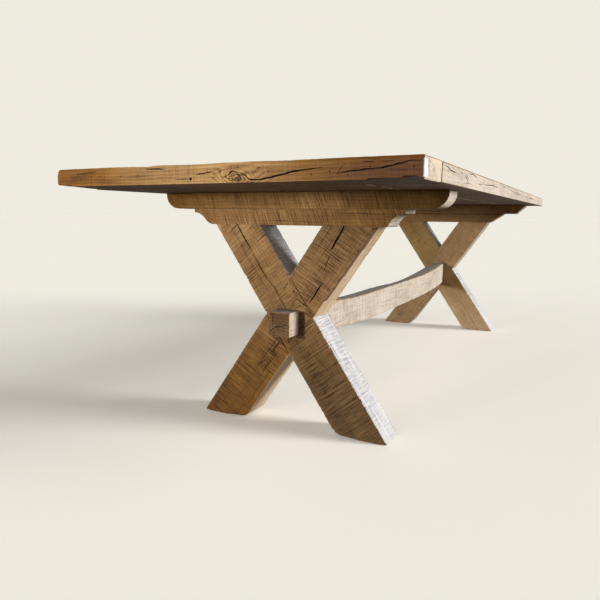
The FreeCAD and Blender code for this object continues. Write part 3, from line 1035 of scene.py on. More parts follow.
@dataclass(frozen=True)
class Weather:
    """How far age has taken a timber's surface back, always inwards, in millimetres."""

    wave: float
    wave_size: float
    ripple: float
    ripple_size: float
    chip: float
    chip_size: float
    chip_reach: float = 9.0
    waney: float = 0.0
    waney_size: float = 90.0
    waney_reach: float = 40.0
    pale_reach: float = 14.0

    def wear(self, piece: bpy.types.Object, edges: np.ndarray, seat: Mask) -> None:
        """Wear a finely divided piece back.

        Args:
            piece: The piece.
            edges: Its sharp edges, from before they were eased.
            seat: Says which points stay, because something rests there.
        """
        points = places(piece)
        gap = distance_to_edges(points, edges)
        free = 1.0 - np.asarray(seat(points), float)
        set_weights(piece, "surface", free)
        set_weights(piece, "chip", np.clip(1.0 - gap / self.chip_reach, 0.0, 1.0) * free)
        set_attribute(piece, "arris", np.clip(1.0 - gap / self.pale_reach, 0.0, 1.0))
        self._push(piece, "surface", self.wave, self.wave_size, 1, (0.25, 0.75))
        self._push(piece, "surface", self.ripple, self.ripple_size, 2, (0.25, 0.75))
        self._push(piece, "chip", self.chip, self.chip_size, 2, (0.24, 0.44))
        if self.waney > 0.0:
            set_weights(piece, "waney", np.clip(1.0 - gap / self.waney_reach, 0.0, 1.0) ** 2 * free)
            self._push(piece, "waney", self.waney, self.waney_size, 1, (0.25, 0.65))
        piece.vertex_groups.clear()

    @staticmethod
    def _push(
        piece: bpy.types.Object,
        group: str,
        depth: float,
        size: float,
        octaves: int,
        levels: tuple[float, float],
    ) -> None:
        """Sink a cloudy pattern into a vertex group.

        Args:
            piece: The piece.
            group: The vertex group.
            depth: The deepest it goes.
            size: Size of the pattern.
            octaves: Finer layers in it.
            levels: The noise that goes deepest, and the noise from which nothing is worn.
        """
        texture = bpy.data.textures.new("worn", "CLOUDS")
        texture.noise_scale = size * MM
        texture.noise_depth = octaves
        texture.use_color_ramp = True
        for stop, place, level in zip(texture.color_ramp.elements, levels, (0.0, 1.0)):
            stop.position = place
            stop.color = grey(level)
        apply_modifier(
            piece,
            "DISPLACE",
            texture=texture,
            texture_coords="LOCAL",
            direction="NORMAL",
            mid_level=1.0,
            strength=depth * MM,
            vertex_group=group,
        )
        bpy.data.textures.remove(texture)


PLANK_WEATHER = Weather(wave=1.6, wave_size=210.0, ripple=0.5, ripple_size=60.0, chip=2.4, chip_size=30.0)
OUTER_PLANK_WEATHER = Weather(
    wave=0.3, wave_size=210.0, ripple=0.3, ripple_size=45.0, chip=1.8, chip_size=20.0,
    waney=0.4, waney_size=75.0, waney_reach=20.0,
)
BOARD_WEATHER = Weather(
    wave=0.3, wave_size=150.0, ripple=0.4, ripple_size=24.0, chip=1.2, chip_size=18.0,
    waney=0.4, waney_size=70.0, waney_reach=18.0,
)
LEG_WEATHER = Weather(
    wave=0.3, wave_size=170.0, ripple=0.4, ripple_size=22.0, chip=4.2, chip_size=11.0,
    chip_reach=7.0, waney=0.4, waney_size=110.0, waney_reach=18.0,
)
BEAM_WEATHER = Weather(
    wave=0.4, wave_size=120.0, ripple=0.5, ripple_size=18.0, chip=2.2, chip_size=12.0, chip_reach=6.0
)
STRETCHER_WEATHER = Weather(
    wave=0.4, wave_size=140.0, ripple=0.5, ripple_size=22.0, chip=2.2, chip_size=16.0,
    chip_reach=7.0, waney=0.6, waney_size=90.0, waney_reach=18.0,
)
PEG_WEATHER = Weather(
    wave=0.3, wave_size=60.0, ripple=0.4, ripple_size=10.0, chip=1.5, chip_size=9.0, chip_reach=5.0
)


@dataclass(frozen=True)
class Crack:
    """An open split in a face: its line, its greatest width and its depth, in millimetres."""

    line: tuple[tuple[float, float], ...]
    width: float = 2.4
    depth: float = 16.0


@dataclass(frozen=True)
class WormHole:
    """A small round hole in a face."""

    place: tuple[float, float]
    width: float = 3.6


class FaceCutter:
    """Cuts splits and holes into one flat face of a piece."""

    LIFT = 5.0
    STRIDE = 9.0
    HOLE_DEPTH = 18.0
    HOLE_LEAN = 0.35

    def __init__(self, origin: Point, right: Point, up: Point, outward: Point, seed: int) -> None:
        """Lay the face out.

        Args:
            origin: The face's own zero, in millimetres.
            right: Direction of the first coordinate.
            up: Direction of the second.
            outward: The face's normal.
            seed: Starts the random draws.
        """
        columns = [Vector(right).normalized(), Vector(up).normalized(), Vector(outward).normalized()]
        self.matrix = Matrix.Identity(4)
        for index, column in enumerate(columns):
            for row in range(3):
                self.matrix[row][index] = column[row]
        for row in range(3):
            self.matrix[row][3] = origin[row] * MM
        self.draw = random.Random(seed)

    def _wander(self, line: Sequence[tuple[float, float]]) -> list[tuple[float, float]]:
        """Break a line into short uneven runs."""
        path = [line[0]]
        for (x0, y0), (x1, y1) in zip(line, line[1:]):
            length = math.hypot(x1 - x0, y1 - y0)
            count = max(1, round(length / self.STRIDE))
            for step in range(1, count + 1):
                share = step / count
                side = self.draw.gauss(0.0, 0.45) if step < count else 0.0
                x = x0 + (x1 - x0) * share - side * (y1 - y0) / length
                y = y0 + (y1 - y0) * share + side * (x1 - x0) / length
                path.append((x, y))
        return path

    def _crack_tool(self, crack: Crack) -> bpy.types.Object:
        """Make the wedge that opens one split."""
        profile = bpy.data.curves.new("split_profile", "CURVE")
        profile.dimensions = "2D"
        half = crack.width / 2
        corners = (
            (-half, self.LIFT),
            (half, self.LIFT),
            (half * 0.8, -2.0),
            (half * 0.3, -crack.depth * 0.6),
            (0.0, -crack.depth),
            (-half * 0.3, -crack.depth * 0.6),
            (-half * 0.8, -2.0),
        )
        ring = profile.splines.new("POLY")
        ring.points.add(len(corners) - 1)
        for point, (x, y) in zip(ring.points, corners):
            point.co = (x * MM, y * MM, 0.0, 1.0)
        ring.use_cyclic_u = True
        profile_object = bpy.data.objects.new("split_profile", profile)
        bpy.context.scene.collection.objects.link(profile_object)
        curve = bpy.data.curves.new("split", "CURVE")
        curve.dimensions = "2D"
        curve.bevel_mode = "OBJECT"
        curve.bevel_object = profile_object
        curve.use_fill_caps = True
        path = self._wander(crack.line)
        run = curve.splines.new("POLY")
        run.points.add(len(path) - 1)
        for index, (point, (x, y)) in enumerate(zip(run.points, path)):
            point.co = (x * MM, y * MM, 0.0, 1.0)
            share = index / (len(path) - 1)
            swell = min(1.0, 0.30 + 3.2 * min(share, 1.0 - share))
            point.radius = swell * self.draw.uniform(0.65, 1.0)
        tool = bpy.data.objects.new("split", curve)
        bpy.context.scene.collection.objects.link(tool)
        tool.matrix_world = self.matrix
        alone(tool)
        bpy.ops.object.convert(target="MESH")
        bpy.ops.object.transform_apply(location=True, rotation=True, scale=True)
        with editing(tool, "VERT"):
            bpy.ops.mesh.select_all(action="SELECT")
            bpy.ops.mesh.remove_doubles(threshold=1e-7)
            bpy.ops.mesh.normals_make_consistent(inside=False)
        bpy.data.objects.remove(profile_object)
        mark_faces(tool, 1.0)
        return tool

    def _hole_tool(self, hole: WormHole) -> bpy.types.Object:
        """Make the drill for one worm hole."""
        bpy.ops.object.select_all(action="DESELECT")
        bpy.ops.mesh.primitive_cone_add(
            vertices=9, radius1=hole.width / 3 * MM, radius2=hole.width / 2 * MM, depth=self.HOLE_DEPTH * MM
        )
        tool = bpy.context.object
        about_x, about_y = (self.draw.uniform(-self.HOLE_LEAN, self.HOLE_LEAN) for _ in range(2))
        lean = Matrix.Rotation(about_x, 4, "X") @ Matrix.Rotation(about_y, 4, "Y")
        spot = Matrix.Translation((hole.place[0] * MM, hole.place[1] * MM, 0.0))
        tool.matrix_world = self.matrix @ spot @ lean
        bpy.context.view_layer.update()
        bpy.ops.object.transform_apply(location=True, rotation=True, scale=True)
        with editing(tool, "VERT"):
            bpy.ops.mesh.select_all(action="SELECT")
            bpy.ops.mesh.normals_make_consistent(inside=False)
        mark_faces(tool, 1.0)
        return tool

    def cut(self, piece: bpy.types.Object, cracks: Sequence[Crack], holes: Sequence[WormHole] = ()) -> None:
        """Open every split and hole of this face.

        Args:
            piece: The piece.
            cracks: Its splits.
            holes: Its worm holes.
        """
        if "split" not in piece.data.attributes:
            mark_faces(piece, 0.0)
        for crack in cracks:
            combine_solids(piece, self._crack_tool(crack), "DIFFERENCE")
        if holes:
            combine_solids(piece, join_solids([self._hole_tool(hole) for hole in holes]), "DIFFERENCE")


def refine(piece: bpy.types.Object, voxel: float) -> None:
    """Divide a piece's surface evenly, all over."""
    apply_modifier(piece, "REMESH", mode="VOXEL", voxel_size=voxel * MM, adaptivity=0.0)


def dress(piece: bpy.types.Object, finish: AgedOak, nodes: Sequence[str]) -> None:
    """Give a finished piece its smooth shading and its material, hang it on the body and hide the frame's
    nodes that it stands for.

    Args:
        piece: The piece.
        finish: Its finish.
        nodes: The frame's nodes that it stands for.
    """
    alone(piece)
    bpy.ops.object.shade_smooth_by_angle(angle=SMOOTH_ANGLE)
    piece.data.materials.clear()
    piece.data.materials.append(finish.make())
    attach(piece, BODY)
    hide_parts(*nodes)
    LOG.info("%s: %d faces, stands for %s", piece.name, len(piece.data.polygons), ", ".join(nodes))


# --- The top ---------------------------------------------------------------------------------


SMUDGE = tint(0.17, 0.16, 0.13)
# Painted shade: a brown multiplied onto parts of the top's underside near the near end.
UNDER_SHADE_BROWN = tint(0.50, 0.36, 0.30)
BOARD_SMUDGES_AND_PAINTED_LIGHT = (
    # Painted highlight: a pale, cool strip on the near board's face towards -Y by its corner. The smudges
    # after it are dirt on its face.
    Stain((-1348.6, -505.0, 718.0), (-1328.0, -497.0, 752.0), 3.0, 0.85, tint(0.76, 0.90, 1.0), "MIX"),
    Stain((-1352.0, 385.0, 727.0), (-1345.0, 445.0, 743.0), 14.0, 0.50, SMUDGE),
    Stain((-1352.0, 355.0, 741.0), (-1345.0, 425.0, 747.0), 7.0, 0.55, SMUDGE),
    Stain((-1352.0, 275.0, 715.0), (-1345.0, 335.0, 732.0), 16.0, 0.35, SMUDGE),
    # Painted shade on the near board's underside towards +Y.
    Stain((-1352.0, 150.0, 700.0), (-1200.0, 510.0, 712.6), 2.0, 0.9, UNDER_SHADE_BROWN),
)
# Painted shade on the planks' undersides near the near end; only the planks towards +Y take it.
UNDER_PAINTED_SHADE = Stain((-1220.0, -510.0, 700.0), (-1000.0, 510.0, 712.6), 8.0, 0.9, UNDER_SHADE_BROWN)
PLANK_TONES = three_tones((0.150, 0.076, 0.030), (0.335, 0.192, 0.084), (0.48, 0.30, 0.15))
PLANK_LEVELS = (1.0, 1.12, 0.90, 1.18, 0.84, 1.06)
BOARD_TONES = three_tones((0.165, 0.076, 0.024), (0.44, 0.250, 0.092), (0.70, 0.45, 0.20))
JOINT_TONES = three_tones((0.10, 0.05, 0.02), (0.24, 0.13, 0.05), (0.40, 0.24, 0.11))
# The near board's face is lightest near its middle and darker towards both ends, most towards -Y: partly its
# own tone, partly painted light falling off across it.
BOARD_STOPS = (
    (-500.0, 0.275, 1.20), (-380.0, 0.325, 1.15), (-250.0, 0.51, 1.0), (-120.0, 0.90, 0.9),
    (0.0, 1.17, 0.0), (140.0, 1.08, 0.0), (220.0, 0.96, 3.2), (330.0, 0.69, 2.3), (500.0, 0.57, 1.9),
)
BOARD_KNOTS = (Knot((-1350, -82, 722), 7.0, 44.0), Knot((-1350, -66, 731), 3.0, 24.0))
SIDE_KNOTS = (
    Knot((-1020, -500, 747), 3.5, 30.0),
    Knot((160, -500, 736), 4.0, 45.0),
    Knot((430, -500, 739), 4.0, 40.0),
)
# How far each cross board's upper and lower outer edge is worn up or down, by Y
BOARD_DIPS = {
    End.NEAR: (
        {
            431: 0, 300: 0, 221: -1.5, 186: -2.5, 150: 0, 60: -1.0, 20: -1.5, -40: 0, -120: 0,
            -190: -1.0, -260: -0.5, -340: 0, -430: 0,
        },
        {484: 5, 462: 3.5, 431: 0.5, 150: 0, 20: 1, -120: 0, -260: 1.5, -430: 4, -484: 6},
    ),
    End.FAR: (
        {470: -2, 380: 0, 200: -2, 40: 0, -150: -2.5, -330: 0, -470: -3},
        {470: 1, 200: 0, -150: 1, -470: 2},
    ),
}
NEAR_BOARD_CRACKS = (
    Crack(
        (
            (-85, 736), (-102, 728), (-114, 720), (-140, 720), (-181, 727), (-221, 735), (-253, 738),
            (-290, 740),
        ),
        5.0,
        20,
    ),
    Crack(
        (
            (-319, 727), (-340, 731), (-363, 733), (-392, 735), (-414, 736), (-436, 740), (-466, 747),
            (-494, 748),
        ),
        4.2,
        16,
    ),
    Crack(((-319, 727), (-330, 740), (-339, 748)), 1.6, 7),
    Crack(((-375, 749), (-400, 749)), 2.2, 7),
    Crack(((-415, 749), (-440, 749)), 2.2, 7),
    Crack(((186, 751), (160, 751), (126, 750)), 4.0, 11),
    Crack(((96, 725), (72, 725), (50, 725)), 2.6, 10),
    Crack(((411, 746), (380, 748), (350, 750)), 2.6, 8),
    Crack(((35, 735), (13, 736), (-12, 741)), 3.6, 10),
    Crack(((-5, 727), (-22, 727)), 2.6, 8),
    Crack(((-28, 736), (-36, 742), (-49, 745)), 3.0, 10),
    Crack(((-36, 730), (-42, 726), (-52, 730), (-62, 739), (-74, 742)), 2.8, 9),
    Crack(((-52, 723), (-62, 719), (-72, 722)), 2.6, 8),
    Crack(((-56, 734), (-66, 739), (-84, 737)), 3.4, 10),
    Crack(((-69, 729), (-78, 733), (-87, 728), (-92, 719)), 3.2, 9),
    Crack(((-75, 726), (-82, 721), (-83, 715)), 3.4, 9),
    Crack(((-50, 725), (-66, 723), (-75, 716)), 2.6, 8),
    Crack(((-128, 743), (-135, 746), (-144, 744)), 2.2, 7),
)
WORM_SPOTS = (
    (411, 732), (371, 738), (338, 737), (268, 736), (212, 738), (-160, 737), (-262, 728), (-304, 732),
    (-344, 725), (-391, 739), (-479, 737),
)
NEAR_BOARD_HOLES = (*(WormHole(spot) for spot in WORM_SPOTS), WormHole((50, 725), 8.5))
SIDE_CRACKS = (
    Crack(((-1190, 752), (-1140, 745), (-1080, 743)), 3.0, 9),
    Crack(((-985, 746), (-960, 737), (-935, 729)), 3.4, 9),
    Crack(((-975, 750), (-950, 741), (-930, 735)), 2.6, 9),
    Crack(((-935, 751), (-880, 753), (-820, 747)), 3.0, 9),
    Crack(((-800, 733), (-760, 732), (-730, 735)), 2.6, 9),
    Crack(((-700, 735), (-560, 741), (-430, 739)), 2.8, 12),
    Crack(((-150, 744), (60, 738), (240, 741)), 2.8, 12),
    Crack(((500, 733), (640, 738), (790, 736)), 2.8, 12),
)


@dataclass
class TableTop:
    """Six long planks between two cross boards, with the wear of long use."""

    length: float = 2700.0
    width: float = 1000.0
    height: float = 760.0
    thickness: float = 48.0
    board_width: float = 135.0
    planks: int = 6
    joint: float = 0.25
    outer_radius: float = 5.0
    corner_radius: float = 3.0
    worn_corner: float = 11.0
    oak: dict = field(
        default_factory=lambda: {
            "sawn": 0.22,
            "stripe": 0.7,
            # Painted shade darkens the undersides of the planks and boards in full.
            "under_shade": 1.0,
            "polish": 0.8,
            "sheen": 0.06,
            "gloss": 0.22,
            # The top's long sides and the boards' ends towards +Y and -Y take a pale painted highlight.
            "side_from": (0.80, 0.97),
            "side_highlight_tone": tint(0.92, 0.875, 0.80),
        }
    )

    @property
    def underside(self) -> float:
        """Height of the planks' underside."""
        return self.height - self.thickness

    @property
    def plank_end(self) -> float:
        """X of the planks' ends."""
        return self.length / 2 - self.board_width

    def make_plank(self, index: int) -> bpy.types.Object:
        """Plane, wear and finely divide one plank.

        Args:
            index: Its number, from 0 at -Y.

        Returns:
            The plank.
        """
        pitch = self.width / self.planks
        low_y = -self.width / 2 + index * pitch
        high_y = low_y + pitch
        outer = {0: low_y, self.planks - 1: high_y}.get(index)
        if index > 0:
            low_y += self.joint
        if index < self.planks - 1:
            high_y -= self.joint
        end = self.plank_end - self.joint
        plank = add_block(f"plank_{index + 1}", (-end, low_y, self.underside), (end, high_y, self.height))
        edges = sharp_edges(plank)

        def is_outer_top(a: Vector, b: Vector) -> bool:
            """Tell the long top edge on the table's side."""
            on_side = outer is not None and abs(a.y - outer) < TOUCH and abs(b.y - outer) < TOUCH
            return on_side and min(a.z, b.z) > self.height - TOUCH

        ease(plank, is_outer_top, self.outer_radius, 4)
        ease(plank, lambda a, b: abs(a.x - b.x) > end and self._is_inner_arris(a, b, outer), 2.2, 2)
        if index == 0:
            refine(plank, 5.0)
        else:
            if outer is not None:
                split_lengthwise(plank, Axis.Z, 30.0, 5)
            split_lengthwise(plank, Axis.Y, 60.0, 9)
            split_lengthwise(plank, Axis.X, end, 19)
            split_lengthwise(plank, Axis.X, 60.0, 13 if outer is not None else 9)
        weather = PLANK_WEATHER if outer is None else OUTER_PLANK_WEATHER
        weather.wear(plank, edges, lambda points: points[:, 2] < self.underside + 0.5)
        return plank

    def _is_inner_arris(self, a: Vector, b: Vector, outer: float | None) -> bool:
        """Tell a long edge that isn't the rounded one."""
        at_top_or_bottom = max(abs(a.z - self.height), abs(b.z - self.height)) < TOUCH or (
            max(abs(a.z - self.underside), abs(b.z - self.underside)) < TOUCH
        )
        rounded = outer is not None and abs(a.y - outer) < self.outer_radius + 1 and a.z > self.underside + 1
        return at_top_or_bottom and not rounded

    def make_end_board(self, end: End) -> bpy.types.Object:
        """Shape and wear one cross board.

        Args:
            end: Which end of the table.

        Returns:
            The board.
        """
        inner, outer = end.value * self.plank_end, end.value * self.length / 2
        half = self.width / 2
        low_x, high_x = sorted((inner, outer))
        board = add_block(
            f"cross_board_{end.label}", (low_x, -half, self.underside), (high_x, half, self.height)
        )
        self._bow(board, end, outer)
        if end is End.NEAR:
            self._round_far_corner(board, low_x, high_x)

        def is_corner(a: Vector, b: Vector) -> bool:
            """Tell the two upright edges at the table's corners."""
            upright = abs(a.y - b.y) < 1.0 and abs(a.z - b.z) > 10.0
            return upright and abs(a.x - outer) < TOUCH and min(abs(a.y), abs(b.y)) > half - 1.0

        ease(board, is_corner, self.corner_radius, 2)
        edges = sharp_edges(board)

        def is_outer_top(a: Vector, b: Vector) -> bool:
            """Tell the top edge round the outside."""
            rim_x = self.board_width - self.corner_radius - 1
            on_rim = all(abs(p.y) > half - 1.5 or abs(p.x - inner) > rim_x for p in (a, b))
            return on_rim and min(a.z, b.z) > self.underside + 16.0 and self._across_rim(a, b, inner)

        ease(board, is_outer_top, self.outer_radius, 3)
        refine(board, 3.0 if end is End.NEAR else 4.5)
        BOARD_WEATHER.wear(board, edges, self._round_pins)
        return board

    def _round_pins(self, points: np.ndarray) -> np.ndarray:
        """Keep the wood level round the wooden pins, as a share of each point."""
        pitch = self.width / self.planks
        nearest = (np.floor(points[:, 1] / pitch) + 0.5) * pitch
        away = np.hypot(points[:, 1] - nearest, np.abs(points[:, 0]) - self.plank_end - 15.0)
        return np.clip(1.6 - away / 22.0, 0.0, 1.0) * (points[:, 2] > self.underside + 20.0)

    def _across_rim(self, a: Vector, b: Vector, inner: float) -> bool:
        """Tell an edge that follows the rim from one that crosses the board."""
        level = abs(a.y - b.y) < 1.0 and abs(a.z - b.z) < 1.0
        crosses = level and abs(a.x - b.x) > self.board_width - 30.0
        return not crosses or min(abs(a.y), abs(b.y)) > self.width / 2 - 1.5

    def _bow(self, board: bpy.types.Object, end: End, outer: float) -> None:
        """Wear a cross board's outline down in long shallow dips.

        Args:
            board: The board's blank.
            end: Which end of the table.
            outer: X of its outer face.
        """
        tops, bottoms = BOARD_DIPS[end]
        slice_at(board, Axis.Y, sorted(set(tops) | set(bottoms)))
        for levels, height in ((tops, self.height), (bottoms, self.underside)):
            for station, drop in levels.items():
                if drop:
                    spot = (outer, station, height)
                    shift(board, lambda p: stands_at(p, spot, (1.0, 1.0, 1.0)), (0.0, 0.0, drop))

    def _round_far_corner(self, board: bpy.types.Object, low_x: float, high_x: float) -> None:
        """Round the near board's worn upper corner at +Y.

        Args:
            board: The board's blank.
            low_x: Its lowest X.
            high_x: Its highest X.
        """
        half, radius = self.width / 2, self.worn_corner
        shift(board, lambda p: p.y > half - 1.0, (0, -1.0, 0))
        shift(board, lambda p: p.y > half - 2.0 and p.z < self.underside + 1.0, (0, 0, 6.0))
        start_y, start_z = half - 1.0 - radius, self.height - radius
        reach = radius + 5
        tool = add_block(
            "corner", (low_x - 5, start_y, start_z), (high_x + 5, start_y + reach, start_z + reach)
        )
        rod = add_rod("corner_round", ((low_x + high_x) / 2, start_y, start_z), radius, 300.0, Axis.X, 64)
        combine_solids(tool, rod, "DIFFERENCE")
        combine_solids(board, tool, "DIFFERENCE")

    def crack_near_board(self, board: bpy.types.Object) -> None:
        """Open the splits and worm holes in the near board's face."""
        cutter = FaceCutter((-self.length / 2, 0, 0), (0, 1, 0), (0, 0, 1), (-1, 0, 0), seed=3)
        cutter.cut(board, NEAR_BOARD_CRACKS, NEAR_BOARD_HOLES)

    def build(self, nodes: dict) -> list[bpy.types.Object]:
        """Build and dress the whole top.

        Args:
            nodes: The frame's nodes by name.

        Returns:
            Its pieces.
        """
        made = []
        for index in range(self.planks):
            plank = self.make_plank(index)
            is_seen = index == 0
            if is_seen:
                self._crack_side(plank)
            middle = -self.width / 2 + (index + 0.5) * self.width / self.planks
            oak = AgedOak(
                f"plank_{index + 1}_oak",
                grain=(1, 0, 0),
                face=(0, 0, 1) if is_seen else (0, 1, 0),
                heart=(0, middle, 730),
                seed=3.7 * index + 1.3,
                knots=SIDE_KNOTS if is_seen else (),
                knotty=0.0 if is_seen else 0.30,
                checks=0.7,
                stains=(UNDER_PAINTED_SHADE,) if middle > 200.0 else (),
                **scaled(PLANK_TONES, PLANK_LEVELS[index]),
                **self.oak,
            )
            dress(plank, oak, [f"top_plank_{index + 1}"])
            made.append(plank)
        for end in End:
            board = self.make_end_board(end)
            is_near = end is End.NEAR
            if is_near:
                self.crack_near_board(board)
            oak = AgedOak(
                f"cross_board_{end.label}_oak",
                grain=(0, 1, 0),
                face=(0, 0, 1),
                heart=(end.value * 1290, 0, 735),
                seed=11.0 + end.value,
                knots=BOARD_KNOTS if is_near else (),
                checks=0.6,
                tone_stops=BOARD_STOPS if is_near else (),
                even_top=0.9,
                stains=BOARD_SMUDGES_AND_PAINTED_LIGHT if is_near else (),
                **BOARD_TONES,
                **self.oak,
            )
            dress(board, oak, [f"end_board_{end.label}"])
            made.append(board)
        self._finish_joints(nodes)
        return made

    def _crack_side(self, plank: bpy.types.Object) -> None:
        """Open the splits in the long side towards -Y."""
        cutter = FaceCutter((0, -self.width / 2, 0), (1, 0, 0), (0, 0, 1), (0, -1, 0), seed=9)
        cutter.cut(plank, SIDE_CRACKS)

    def _finish_joints(self, nodes: dict) -> None:
        """Give the pins and splines, which keep the frame's own shapes, the look of oiled oak."""
        for name in ("end_board_pins_near", "end_board_pins_far", "top_splines"):
            oak = AgedOak(
                f"{name}_oak",
                grain=(1, 0, 0) if name == "top_splines" else (0, 0, 1),
                face=(0, 1, 0),
                heart=(0, 0, 740),
                seed=21.0,
                sawn=0.0,
                side_highlight=0.0,
                polish=1.0,
                sheen=0.05,
                **JOINT_TONES,
            )
            nodes[name].data.materials[0] = oak.make()


# --- The trestles ----------------------------------------------------------------------------


@dataclass(frozen=True)
class LegMarks:
    """The splits in the outer face of one leg, as along and across its centre line."""

    cracks: tuple[Crack, ...]
    seams: tuple[Crack, ...] = ()


@dataclass
class Trestle:
    """Two crossed legs, halved together, under a coved head beam and a bearer."""

    end: End
    outer_x: float = 960.0
    inner_x: float = 860.0
    beam_inner_x: float = 870.0
    head_top: float = 662.0
    head_bottom: float = 614.0
    head_half: float = 348.0
    bearer_top: float = 712.0
    bearer_half: float = 461.0
    bearer_radius: float = 46.0
    cove_radius: float = 50.0
    cove_height: float = 600.0
    leg_width: float = 134.0
    leg_angle: float = math.radians(55.5)
    crossing: float = 347.0
    peg_low: Point = (-30.5, 291.0)
    peg_high: Point = (40.5, 365.0)
    near_lip_cut: tuple[Point, Point] = ((356.0, 655.0), (277.0, 608.5))
    far_lip_cut: tuple[Point, Point] = ((338.0, 658.0), (262.0, 607.0))
    toe_radius: float = 22.0
    heel_radius: float = 7.0
    bearer_cut: tuple[Point, Point] = ((458.0, 709.0), (415.0, 668.5))
    coach_offset: float = 60.0
    coach_recess: tuple[float, float] = (13.0, 24.0)
    screw_spot: tuple[float, float] = (915.0, 416.67)
    screw_recess: tuple[float, float] = (6.1, 29.0)
    mortise_gap: float = 0.7
    leg_skew: float = 0.05
    beam_skew: float = -0.35

    @property
    def is_near(self) -> bool:
        """Whether this is the trestle at -X."""
        return self.end is End.NEAR

    def across_x(self, first: float, second: float) -> tuple[float, float]:
        """Two distances from the middle as the lower and higher X at this end."""
        low, high = sorted((self.end.value * first, self.end.value * second))
        return low, high

    def make_leg(self, name: str, lean: int, voxel: float) -> bpy.types.Object:
        """Saw, ease and wear one leg, before its halving is cut.

        Args:
            name: The leg's name.
            lean: 1 where its head is at +Y, -1 where it is at -Y.
            voxel: Size of its surface divisions.

        Returns:
            The leg.
        """
        half = self.leg_width / math.sin(self.leg_angle) / 2
        low_x, high_x = self.across_x(self.inner_x, self.outer_x)
        top = self.head_bottom + 3.0
        slope = lean / math.tan(self.leg_angle)
        leg = add_block(name, (low_x, -half, 0), (high_x, half, top))
        shift(leg, lambda p: p.z < 1.0, (0, -slope * self.crossing, 0))
        shift(leg, lambda p: p.z > top - 1.0, (0, slope * (top - self.crossing), 0))
        edges = sharp_edges(leg)
        edges = edges[np.min(edges[:, :, 2], axis=1) < top - 1.0]
        ease(leg, lambda a, b: abs(a.z - b.z) > 100.0, 2.0, 2)
        ease(leg, lambda a, b: max(a.z, b.z) < 1.0 and min(abs(a.y), abs(b.y)) > 200.0, self.heel_radius, 3)
        ease(leg, lambda a, b: max(a.z, b.z) < 1.0 and max(abs(a.y), abs(b.y)) < 200.0, self.toe_radius, 4)
        refine(leg, voxel)
        LEG_WEATHER.wear(leg, edges, lambda points: (points[:, 2] < 0.6) | (points[:, 2] > top - 0.5))
        return leg

    def halve(self, outer_leg: bpy.types.Object, inner_leg: bpy.types.Object) -> None:
        """Cut each leg away where the other runs through.

        Args:
            outer_leg: The leg that shows whole on the trestle's outer face.
            inner_leg: The one that shows whole on its inner face.
        """
        middle = (self.outer_x + self.inner_x) / 2
        reach, spare = 420.0, 10.0
        solids = []
        halves = (
            (outer_leg, middle, self.outer_x + spare),
            (inner_leg, self.inner_x - spare, middle),
        )
        for source, first, second in halves:
            low_x, high_x = self.across_x(first, second)
            solid = copy_solid(source, "halving")
            box = add_block("halving_box", (low_x, -reach, 200), (high_x, reach, 500))
            combine_solids(solid, box, "INTERSECT")
            solids.append(solid)
        combine_solids(inner_leg, solids[0], "DIFFERENCE")
        combine_solids(outer_leg, solids[1], "DIFFERENCE")
        gap = self.mortise_gap
        low_y, low_z = self.peg_low
        high_y, high_z = self.peg_high
        for leg in (outer_leg, inner_leg):
            low_x, high_x = self.across_x(self.inner_x - spare, self.outer_x + spare)
            mortise = add_block(
                "mortise", (low_x, low_y - gap, low_z - gap), (high_x, high_y + gap, high_z + gap)
            )
            combine_solids(leg, mortise, "DIFFERENCE")

    def crack_leg(self, leg: bpy.types.Object, lean: int, marks: LegMarks) -> None:
        """Open a leg's splits and the seam of its halving on the outer face.

        Args:
            leg: The leg.
            lean: 1 where its head is at +Y, -1 where it is at -Y.
            marks: Its splits and seams.
        """
        dy, dz = math.cos(self.leg_angle) * lean, math.sin(self.leg_angle)
        cutter = FaceCutter(
            origin=(self.end.value * self.outer_x, 0, self.crossing),
            right=(0, dy, dz),
            up=(0, dz, -dy),
            outward=(self.end.value, 0, 0),
            seed=17 + lean + 5 * self.end.value,
        )
        cutter.cut(leg, marks.seams + marks.cracks)

    def make_head_beam(self) -> bpy.types.Object:
        """Saw the head beam and cut its coves."""
        low_x, high_x = self.across_x(self.beam_inner_x, self.outer_x)
        beam = add_block(
            f"head_beam_{self.end.label}_worn",
            (low_x, -self.head_half, self.head_bottom),
            (high_x, self.head_half, self.head_top),
        )
        middle = (low_x + high_x) / 2
        for side in (-1, 1):
            spot = (middle, side * self.head_half, self.cove_height)
            rod = add_rod("cove", spot, self.cove_radius, 200.0, Axis.X, 72)
            combine_solids(beam, rod, "DIFFERENCE")
        self._slant_end(beam, -self.end.value, self.near_lip_cut if self.is_near else self.far_lip_cut)
        edges = sharp_edges(beam)
        refine(beam, 3.5 if self.is_near else 5.0)
        BEAM_WEATHER.wear(beam, edges, lambda points: points[:, 2] > self.head_top - 0.5)
        for side in (-1, 1):
            spot = (middle, side * self.coach_offset, self.head_bottom)
            rod = add_rod("coach_recess", spot, *self.coach_recess, Axis.Z, 32)
            combine_solids(beam, rod, "DIFFERENCE")
        return beam

    @staticmethod
    def _slant_end(beam: bpy.types.Object, side: int, line: tuple[Point, Point]) -> None:
        """Saw the lower corner off one end of a beam with a slanted cut.

        Args:
            beam: The beam.
            side: 1 for the end at +Y, -1 for the one at -Y.
            line: The cut's upper and lower point, as distance from the middle and height.
        """
        (tip_y, tip_z), (heel_y, heel_z) = line
        outward = Vector((0.0, side * (tip_z - heel_z), heel_y - tip_y)).normalized()
        with editing(beam, "FACE"):
            bpy.ops.mesh.select_all(action="SELECT")
            bpy.ops.mesh.bisect(
                plane_co=Vector((0.0, side * tip_y, tip_z)) * MM,
                plane_no=outward,
                use_fill=True,
                clear_outer=True,
            )

